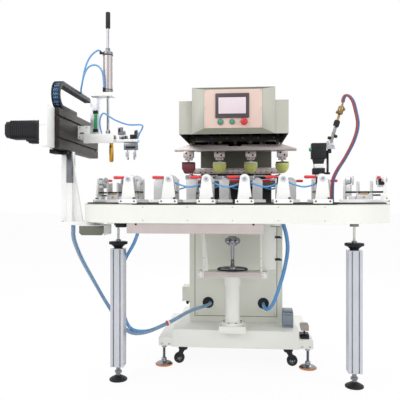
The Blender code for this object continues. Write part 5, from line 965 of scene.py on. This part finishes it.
def make_beam():
    front, back = 645, 695
    outline = [(-397, 1410), (397, 1410), (397, 1424), (308, 1451), (43, 1451), (40, 1439)]
    outline += [(-40, 1439), (-43, 1451), (-308, 1451), (-397, 1424)]
    form = Form(ANODISED).prism(outline, "y", front, back, 1).use(SHADOW)
    # A thin line of painted shade along the foot of the beam's front
    for low, high in ((-390, -44), (-46, 390)):
        form.box((low, front - 0.5, 1410.2), (high, front + 1, 1412.6), 0.2)
    form.use(CHROME)
    for x in RODS:
        form.rod((x, BEAM_Y, 1449), (x, BEAM_Y, 1625), 9, 28, 1.5)
    form.rod((0, BEAM_Y, 1436), (0, BEAM_Y, 1480), 7, 24, 1).disc(16, 8, (0, BEAM_Y, 1438), steps=6)
    # Pad holders: a drilled block and its stem, then a square plate for the block pad or a disc for a cup; the
    # drill holes are discs of painted shade
    cone = ((0, 1337), (17, 1337), (9, 1345), (0, 1345))
    for x, plate in zip(PADS, (BLACK, CERAMIC, CERAMIC, GLOSS_BLACK)):
        form.use(ANODISED).box((x - 34, front, 1369), (x + 34, back, 1410), 1.6)
        form.box((x - 25, 650, 1352), (x + 25, 690, 1369.5), 1.2)
        form.use(STEEL).rod((x, BEAM_Y, 1337), (x, BEAM_Y, 1353), 6, 24, 0.5)
        form.use(CERAMIC).turn(cone, (x, BEAM_Y, 0), steps=32).use(SHADOW)
        for along, z in ((-13, 1397), (13, 1382)):
            form.disc(6.5, 0.6, (x + along, front, z), FRONT, 24)
        for along in (-10, 10):
            form.disc(4, 0.6, (x + along, 650, 1361), FRONT, 20)
        if x == PADS[0]:
            form.use(plate).box((x - 41, 629.2, 1330), (x + 41, 711, 1338), 1)
        else:
            form.use(plate).disc(42, 8, (x, BEAM_Y, 1330), steps=56, edge=(1, 1))
    form.made("stroke_beam", "pad_bar", "pad_beam")
    screws("beam_screws", "pad_bar", grid(FRONT, (-290, -120, 120, 290), (645.4,), (1436,)), 4.5, 1.2)

    # Pads: three cast silicone cups with a rolled rim, and one block with its lower edge cut back
    top = 1329.7
    block = Form(MAROON).box((-347, 629, 1292), (-265, 711, top), 5, steps=3)
    lower = bmesh.new()
    bmesh.ops.create_cube(lower, size=1)
    for vert in lower.verts:
        x, y, z = vert.co
        reach = 82 if z > 0 else 52
        vert.co = Vector((PADS[0] + x * reach, BEAM_Y + y * reach, 1280 + z * 32))
    bevel(lower, lower.edges[:], 3, 3)
    block.take(lower).made("pad_block_1", "pad_bar", "printing_pad_1", sharp=50)
    cup = [(0, top), (43, top), (44.5, 1326), (44.5, 1312), (43, 1304), (38, 1290), (31, 1279)]
    cup += [(22, 1270), (10, 1265), (0, 1264)]
    for index, x in enumerate(PADS[1:], 2):
        form = Form(LIME).turn(cup, (x, BEAM_Y, 0), steps=64)
        form.made(f"pad_cup_{index}", "pad_bar", f"printing_pad_{index}", sharp=60)


def stations():
    """Where the 14 jigs stand on the chain, evenly spread along it, and which way each one is turned."""
    half, radius, count, first = TRACK_HALF, 110, 14, 196
    loop = 4 * half + 2 * pi * radius
    found = []
    for index in range(count):
        along = (first + index * loop / count) % loop
        if along < 2 * half:
            found.append((along - half, -pi / 2))
        elif along < 2 * half + pi * radius:
            found.append((half, -pi / 2 + (along - 2 * half) / radius))
        elif along < 4 * half + pi * radius:
            found.append((half - (along - 2 * half - pi * radius), pi / 2))
        else:
            found.append((-half, pi / 2 + (along - 4 * half - pi * radius) / radius))
    return found


def make_conveyor():
    oval("conveyor_skirt", "machine", 350, 346, 965, 1068, CREAM, "conveyor_apron")
    oval("skirt_rim", "machine", 350, 340, 1063.6, 1068.2, WHITE)
    dress("conveyor_deck", WHITE)
    oval("conveyor_belt", "machine", 335, 250, 1068.3, 1076.3, BELT)
    screws("skirt_screws", "machine", grid(FRONT, (-480, -240, 0, 240, 480), (0.2,), (981, 1052)), 3.5, 1.2)

    # Jigs are drawn from the middle line of the oval outwards along X. First the hollowed outer bracket
    spots = [((x, TRACK_Y, 0), (0, 0, angle)) for x, angle in stations()]
    spindle = 1203
    plate = Form(WHITE).box((83, -50, 1075.4), (341, 50, 1093.3), 1.5)
    plate.box((335, -50, 1071.5), (343, 50, 1093.3), 1.2)
    lean = [(38.5, 1093)] + arc((0, spindle), 25, 8, 172, 20) + [(-38.5, 1093)]
    plate.prism(lean, "x", 318, 330, 0.8)
    plate.prism(((-26, 1093), (26, 1093), (24, 1113), (-24, 1113)), "x", 300, 319, 0.8)
    node = repeat("jig_brackets", "machine", plate, spots)
    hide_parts("jig_chain")

    # Inner wall, cross blocks, two fork uprights and the discs that face each other on the spindle
    inner = Form(BLASTED).box((100, -30, 1092), (112, 30, 1212), 1.2)
    inner.box((130, -26, 1092.5), (168, 26, 1112), 1.5).box((286, -24, 1163), (318.5, 24, 1182), 1.5)
    inner.box((262, -14, 1112), (300, 14, 1124), 1.2).box((176, -22, 1092.5), (252, 22, 1122), 1.5)
    fork = ((-24, 1092.5), (24, 1092.5), (24, 1196), (14, 1196), (0, 1182), (-14, 1196), (-24, 1196))
    for low in (172, 246):
        inner.prism(fork, "x", low, low + 12, 0.8)
    inner.box((112, -20, 1110), (140, 20, 1178), 1.5)
    for x, way in ((282, LEFT), (148, RIGHT)):
        inner.disc(28, 4, (x, 0, spindle), way, bore=6, edge=(1, 1))
    repeat("jig_blocks", "machine", inner, spots)

    chuck = Form(PROFILE)
    body = ((0, 0), (23, 0), (25, 2), (25, 11), (22, 13), (22, 26), (18, 30), (0, 30))
    chuck.turn(body, (318.5, 0, spindle), LEFT).turn(body, (111.5, 0, spindle), RIGHT)
    chuck.turn(((0, 0), (14, 0), (15, 1), (15, 4), (13, 5.5), (0, 5.5)), (330, 0, spindle), RIGHT, 36)
    repeat("jig_spindles", "machine", chuck, spots)

    # Guide rods, bolt heads, the cross slot of the spindle and the latch
    dark = Form(BLACK)
    for way in (-1, 1):
        dark.rod((111, way * 20, 1135), (319, way * 20, 1135), 5, 20, 0.6)
        dark.rod((343, way * 37, 1083.5), (346, way * 37, 1083.5), 4.5, 20, 0.6)
        dark.rod((300, way * 12, 1117.5), (262, way * 12, 1117.5), 4, 16, 0.5)
        turn = Matrix.Translation((335.7, 0, spindle)) @ Matrix.Rotation(way * pi / 4, 4, "X")
        dark.box((-0.5, -8, -1.1), (0.5, 8, 1.1), 0.2, turn)
    dark.box((292, -32, 1174), (324, -15, 1190), 1.5).box((293, -31.5, 1182), (307, -25.5, 1214), 1.2)
    dark.box((318, 26, 1096), (334, 38, 1104), 1)
    repeat("jig_rods_and_latches", "machine", dark, spots)

    tan = Form(TAN).box((190, -24, 1121), (236, 24, 1132), 1.5)
    tan.rod((214, -27, 1106), (214, 27, 1106), 6, 20, 1)
    repeat("jig_laminate_pads", "machine", tan, spots)
    profile = ((0, 0), (6.5, 0), (8, 3), (7.8, 18), (9.2, 46), (9.2, 56), (7, 62), (0, 65))
    grip = Form(RED).turn(profile, (300, -29, 1213), FRONT, 28)
    repeat("jig_lever_grips", "machine", grip, spots, sharp=60)

    # Light blue air lines that sag from jig to jig along both straights
    form = Form(TUBING)
    line = stations()
    for (x, angle), (follow_x, follow) in zip(line, line[1:] + line[:1]):
        if angle != follow:
            continue
        way = Vector((cos(angle), sin(angle), 0)) * 296
        start, end = Vector((x, TRACK_Y, 1186)) + way, Vector((follow_x, TRACK_Y, 1178)) + way
        start += (end - start).normalized() * 30
        end -= (end - start).normalized() * 30
        drops = ((0.25, 13), (0.55, 21), (0.85, 12))
        sag = [start.lerp(end, share) - Vector((0, 0, drop)) for share, drop in drops]
        form.hose(smooth([start, *sag, end], 12), 4.8, 14)
    form.made("jig_air_lines", "machine", sharp=60)

    # Wiring channel below the deck, with two discs of painted shade on its front, and the fittings beside the
    # chain drive
    dress("chain_drive", OLIVE)
    outline = [(8, 1003), (8, 912), (10, 910), (166, 910), (168, 912), (168, 1003), (163, 1003)]
    outline += [(163, 915), (13, 915), (13, 1003)]
    form = Form(ANODISED).prism(outline, "x", -570, 163, 0.4).use(SHADOW)
    for x in (-520, 110):
        form.disc(6, 0.6, (x, 8, 960), FRONT, 24)
    form.made("wiring_channel", "machine", "lower_channel")
    form = Form(BLACK).box((-690, 44, 962), (-590, 120, 1000), 3).box((-640, 40, 940), (-585, 100, 966), 3)
    form.use(CREAM).box((205, 60, 945), (255, 74, 1003), 1.5).box((205, 60, 945), (255, 130, 951), 1.5)
    form.made("under_table_fittings", "machine")


def make_servo():
    """An octagonal ribbed motor case, its stepped rear cap, and a connector box below."""
    form = Form(GLOSS_BLACK)
    ribs = [(49, -1172 + rib * 11, -1167 + rib * 11, 14) for rib in range(13)]
    caps = [(49, -1022, -1010.3, 8), (43, -1198, -1178, 14), (36, -1205, -1198, 12)]
    for a, low, high, cut in [(47, -1178, -1022, 16), *ribs, *caps]:
        b = a - cut
        ring = ((-a, -b), (-b, -a), (b, -a), (a, -b), (a, b), (b, a), (-b, a), (-a, b))
        form.prism([(-55 + y, 1463 + z) for y, z in ring], "x", low, high, 0.6)
    form.box((-1090, -90, 1400), (-1020, -20, 1424), 3)
    form.use(BLACK).box((-1080, -80, 1392), (-1035, -30, 1402), 2)
    form.made("servo_case", "machine", "servo_motor")


def make_slide():
    # Post: two aluminium faces light and dark, on a plate with a gusset
    dress("loader_post", WHITE, 1.5)
    form = Form(STEEL).box((-943.4, 209, 1190), (-941, 271, 1372), 0.8)
    form.box((-974, 208, 1190), (-941.6, 210.6, 1372), 0.8)
    form.use(WHITE).box((-1004, 208.4, 966), (-974, 210.6, 1372), 0.8)
    form.use(BLACK).box((-1000, 160, 1352), (-950, 206, 1372), 3)
    form.box((-1020, 60, 1350), (-985, 150, 1373.6), 3)
    gusset = ((-869, 944), (-726, 944), (-726, 905), (-740, 891), (-855, 891), (-869, 905))
    form.use(OLIVE).prism(gusset, "y", 119, 286, 1)
    form.made("post_faces", "machine")
    screws("post_screws", "machine", grid(UP, (-990, -830), (192, 378), (964.8,)), 5, 5)

    # Linear module: a dark body with two slots and a black strip in its right side, and a white end box
    outline = [(-1000, 1376), (-998, 1374), (-942, 1374), (-940, 1376)]
    for z in (1425, 1545):
        slot = [(-940, z - 8), (-944, z - 8), (-944, z - 12), (-950, z - 12)]
        outline += slot + [(x, 2 * z - height) for x, height in reversed(slot)]
    outline += [(-940, 1592), (-942, 1594), (-998, 1594), (-1000, 1592)]
    form = Form(ANODISED_DARK).prism(outline, "y", 0.4, 750)
    form.use(SHADOW).box((-945.4, 4, 1470), (-939.4, 746, 1500), 0.6)
    form.use(WHITE).box((-1000, 744, 1374), (-939.8, 750, 1594), 1)
    form.made("linear_module", "machine", "slide_module")
    form = Form(WHITE).box((-1010, -110, 1374), (-966, 0, 1594), 4, steps=3)
    form.use(SHADOW).box((-1006, -110, 1482), (-970, -108.8, 1484), 0.2)
    form.made("module_end_box", "machine", "module_end")
    screws("end_box_screws", "machine", grid(FRONT, (-1002, -974), (-108.2,), (1386, 1582)), 3.5, 1.8)
    make_servo()

    # Carriage: a white bracket, and a pale column whose guide has black ends and a green window
    dress("loader_carriage", WHITE, 1.2)
    form = Form(PROFILE).box((-867.2, 329.2, 1441), (-811.6, 331.4, 1733), 0.8)
    form.use(LED_GREEN).box((-845, 326.4, 1520), (-824, 330.4, 1612), 1)
    form.use(BLACK).box((-850, 325.6, 1500), (-820, 330.4, 1520), 1)
    form.box((-850, 325.6, 1612), (-820, 330.4, 1632), 1)
    form.use(WHITE).box((-938, 306, 1459), (-868, 311, 1534), 2)
    form.use(BLACK).box((-925, 305, 1488), (-900, 307, 1496), 0.8)
    form.made("carriage_guide", "loader_slide")
    heads = grid(FRONT, (-925, -882), (306,), (1468, 1525)) + grid(UP, (-850, -822), (325, 375), (1738,))
    screws("carriage_bracket_screws", "loader_slide", heads, 4, 3)


def make_gripper():
    # Lift cylinder: brushed barrel between turned heads, with its fittings and two thin blue lines
    axis = Vector((-764, TRACK_Y, 0))
    form = Form(BARREL).disc(30, 220, axis + Vector((0, 0, 1752)), steps=48, bore=9).use(BLACK)
    for z in (1757, 1964):
        form.disc(31, 3, axis + Vector((0, 0, z)), steps=48, bore=30)
    form.use(STEEL)
    for low, high in ((1738.3, 1757), (1967, 1987)):
        form.disc(32, high - low, axis + Vector((0, 0, low)), steps=48, bore=9, edge=(2, 2))
    form.turn(((9, 1986), (15, 1986), (15, 2008), (13, 2011), (9, 2011)), axis, hollow=True).use(BLACK)
    for start, end in (
        ((-786, 336, 1977), (-803, 326, 1977)), ((-803, 326, 1970), (-803, 326, 1988)),
        ((-780, 326, 1750), (-780, 314, 1750)), ((-780, 314, 1743), (-780, 314, 1766)),
    ):
        form.rod(start, end, 7, 20, 1)
    tail = ((-916, 326, 1800), (-928, 340, 1764), (-945, 400, 1752))
    upper = ((-803, 326, 1986), (-812, 325, 1994), (-840, 324, 1982), (-874, 324, 1944), (-900, 324, 1880))
    lower = (
        (-780, 314, 1764), (-781, 314, 1800), (-789, 314, 1858), (-812, 316, 1893), (-846, 318, 1904),
        (-884, 320, 1884), (-907, 322, 1836),
    )
    form.use(TUBING).hose(smooth(upper + tail, 14), 5.4, 14).hose(smooth(lower + tail, 14), 5.4, 14)
    form.made("lift_barrel", "loader_slide", "lift_cylinder", sharp=50)

    form = Form(CHROME).rod((-764, TRACK_Y, 1487), (-764, TRACK_Y, 2140), 8, 28)
    form.use(BLACK).turn(((0, 2132), (13, 2132), (14, 2134), (14, 2226), (12, 2229), (0, 2229)), axis)
    form.use(STEEL).turn(((0, 1486.4), (14, 1486.4), (14, 1510), (12, 1514), (0, 1514)), axis, steps=6)
    form.made("lift_rod_shaft", "loader_arm", "lift_rod", sharp=50)

    # Gripper: white arm plate, steel head with black fittings, gold cylinder and a blue air line
    form = Form(WHITE)
    for low, high, edge in (
        ((-800, 325, 1440), (-575, 375, 1456), 2), ((-900, 296, 1430), (-716, 304, 1487), 2),
        ((-800, 302, 1440), (-730, 328, 1486), 2), ((-800, 325, 1470), (-728, 375, 1486), 2),
        ((-800, 326, 1452), (-786, 374, 1474), 1),
    ):
        form.box(low, high, edge)
    form.use(STEEL)
    for low, high, edge in (
        ((-742, 332, 1450), (-712, 368, 1480), 1.5), ((-690, 330, 1452), (-640, 370, 1478), 1.5),
        ((-664, 338, 1392), (-580, 362, 1442), 2.5), ((-700, 336, 1484), (-668, 366, 1530), 2),
        ((-672, 340, 1486), (-655, 362, 1508), 1.5),
    ):
        form.box(low, high, edge)
    form.use(BLACK)
    for low, high, edge in (
        ((-625, 330, 1455), (-585, 370, 1484), 2.5), ((-652, 336.6, 1400), (-592, 338.6, 1414), 0.8),
        ((-696, 334.5, 1500), (-684, 336.5, 1524), 0.6), ((-655, 328, 1456), (-646, 331, 1474), 0.6),
    ):
        form.box(low, high, edge)
    form.rod((-668, 336, 1462), (-668, 322, 1462), 7, 20, 1)
    form.rod((-606, 330, 1468), (-606, 318, 1468), 7, 20, 1)
    form.use(STEEL).box((-600, 334, 1484), (-578, 366, 1512), 2)
    form.use(BLACK).box((-596, 331, 1488), (-583, 335, 1506), 0.8)
    profile = ((0, 1322), (9, 1322), (13, 1327), (13, 1420), (11, 1424), (11, 1441), (0, 1441))
    form.use(GOLD).turn(profile, (-743, TRACK_Y, 0))
    form.use(BLACK).disc(7, 2.5, (-743, TRACK_Y, 1320.5)).rod((-743, 337, 1412), (-743, 328, 1412), 5, 20, 1)
    route = (
        (-790, 304, 1484), (-800, 296, 1560), (-779, 296, 1608), (-742, 306, 1588), (-705, 322, 1567),
        (-634, 328, 1543), (-556, 330, 1541), (-548, 331, 1524), (-566, 332, 1490), (-583, 336, 1448),
        (-586, 340, 1420),
    )
    form.use(TUBING).hose(smooth(route, 12), 4.8, 14)
    form.made("gripper_arm", "loader_arm", "gripper_body", sharp=50)
    screws("gripper_screws", "loader_arm", grid(FRONT, (-644, -600), (338,), (1410, 1426)), 2.5, 1.4)

    # Jaws: a finger with a narrower tip and its rubber lining
    middle, open_by = -622, 16
    for word, side in (("left", -1), ("right", 1)):
        form = Form(MILLED)
        for finish, depth, reach, low, high, edge in (
            (MILLED, 14, 15, 1350, 1391.7, 1),
            (MILLED, 8, 13, 1334, 1352, 1),
            (RUBBER, 2, 12, 1335, 1347, 0.4),
        ):
            near, far = sorted((middle + side * open_by, middle + side * (open_by + depth)))
            form.use(finish).box((near, TRACK_Y - reach, low), (far, TRACK_Y + reach, high), edge)
        form.made(f"jaw_{word}_finger", f"jaw_{word}", f"gripper_jaw_{word}")


def make_energy_chain():
    # Open links from the slide up and over, and the blue lines inside
    link = Form(BLACK)
    link.box((-23, -11, -13), (-19, 11, 13), 1.5).box((19, -11, -13), (23, 11, 13), 1.5)
    link.box((-20, -3.5, 10.5), (20, 3.5, 13), 0.6).box((-20, -3.5, -13), (20, 3.5, -10.5), 0.6)
    link.rod((-23, 8, 0), (23, 8, 0), 3.4, 16)
    x, low, high, pitch = -970, 1607.4, 1743.3, 19
    middle, radius = (96, 1675.3), 68
    bend = arc(middle, radius, -90, -270, 11)[1:-1]
    path = [(330 - pitch * step, low, 0) for step in range(1, 13)]
    path += [(y, z, -radians(180 * step / 11)) for step, (y, z) in enumerate(bend, 1)]
    path += [(97 + pitch * step, high, pi) for step in range(28)]
    spots = [((x, y, z), (turn, 0, 0)) for y, z, turn in path]
    links = repeat("energy_chain_links", "machine", link, spots)
    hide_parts("energy_chain")
    form = Form(TUBING)
    line = [(328, low), (200, low)] + arc(middle, radius, -90, -270, 12) + [(200, high), (636, high)]
    for lane, thickness in ((-12, 4.5), (-2, 4.5), (8, 4.5), (15, 3)):
        form.hose([(x + lane, y, z) for y, z in line], thickness, 12)
    form.made("energy_chain_lines", "machine", sharp=60)


def make_flame_unit():
    # Burner: a black box on a white foot and a milled post, with a green button and the torch's clamp plates
    form = Form(BLACK).box((452, 320, 1330), (536, 380, 1422), 3)
    form.prism(((460, 1331), (528, 1331), (520, 1300), (468, 1300)), "y", 324, 376, 1)
    form.use(WHITE).box((467, 322, 1276), (521, 378, 1300), 1.5)
    form.use(BLACK).box((460, 320, 1240), (528, 380, 1276), 1.5)
    form.use(MILLED).box((474, 330, 1068.4), (514, 370, 1241), 1.5)
    form.use(STEEL).rod((547, TRACK_Y, 1240), (547, TRACK_Y, 1379), 7, 24, 1)
    form.use(BLACK).box((500, 338, 1240), (560, 362, 1252), 1.5)
    for z in (1348, 1370, 1392):
        form.box((462, 319.2, z), (526, 320.4, z + 6), 0.3)
    form.use(GREEN).turn(((0, 0), (10, 0), (12, 3), (12, 12), (9, 15), (0, 15)), (452.4, 334, 1385), LEFT, 28)
    form.use(BLACK).box((533, 342, 1364), (568, 358, 1380), 1.2).box((552, 359.5, 1366), (570, 366, 1424), 1)
    form.use(MILLED).box((552, 359.4, 1404), (570, 361, 1426), 0.6)
    form.box((524, 322, 1386), (586, 332, 1424), 2).box((536, 318, 1398), (556, 323, 1434), 1.5)
    form.use(ZINC).rod((546, 318, 1416), (546, 312, 1416), 5, 6).rod((574, 322, 1404), (574, 316, 1404), 5, 6)
    form.use(BLACK).rod((547, 340, 1240), (547, 340, 1386), 3.5, 16)
    form.made("burner_box", "machine", "burner_stand")

    # Torch: a tapering brass pipe with a steel sleeve, collars, knobs, a valve block and a rubber grip
    foot, tip = Vector((562, TRACK_Y, 1415)), Vector((632, TRACK_Y, 1650))
    way = (tip - foot).normalized()
    across = way.cross(Vector((0, 1, 0)))
    start = foot - way * 24
    form = Form(BRASS).rod(start, tip, 9, 32, 1, tip=6.75)
    form.turn(((6, 0), (11, 0), (12, 3), (12, 20), (10, 26), (6, 26)), start, way, 32, hollow=True)
    sleeve = ((6, 0), (9.7, 1), (9.1, 92), (6, 93))
    form.use(STEEL).turn(sleeve, start.lerp(tip, 0.14), way, 32, hollow=True).use(BRASS)
    for share in (0.16, 0.24, 0.32):
        form.turn(((7, 0), (11, 1), (11, 6), (7, 7)), start.lerp(tip, share), way, 32, hollow=True)
    form.turn(((0, 0), (14, 0), (18, 4), (18, 44), (14, 50), (0, 50)), start.lerp(tip, 0.77), way, 8)
    form.use(BLACK)
    for share, side in ((0.22, across), (0.29, -across)):
        form.turn(((0, 0), (9, 2), (10, 18), (7, 26), (0, 26)), start.lerp(tip, share), side, 16)
    for share, side in ((0.8, across), (0.9, -across)):
        spot = start.lerp(tip, share)
        form.use(STEEL).rod(spot, spot + side * 20, 4, 16)
        form.use(BRASS).turn(((0, 0), (7, 0), (8, 2), (8, 9), (6, 10), (0, 10)), spot + side * 14, side, 12)
    form.use(BRASS).rod(tip - way * 4, (634.5, TRACK_Y, 1660.5), 5.5, 24, 1)
    rubber = ((8, 0), (17, 2), (18, 26), (14, 36), (8, 36))
    form.use(BLACK).turn(rubber, start.lerp(tip, 0.5), way, 32, hollow=True)
    form.box((588, 334, 1512), (606, 340, 1548), 2)
    form.made("torch_pipe", "torch", "torch", sharp=50)


make_base()
make_pedal()
make_cabinet()
make_column()
make_lift()
make_stands()
make_neck()
make_cups()
make_head()
make_carriage()
make_beam()
make_conveyor()
make_slide()
make_gripper()
make_energy_chain()
make_flame_unit()
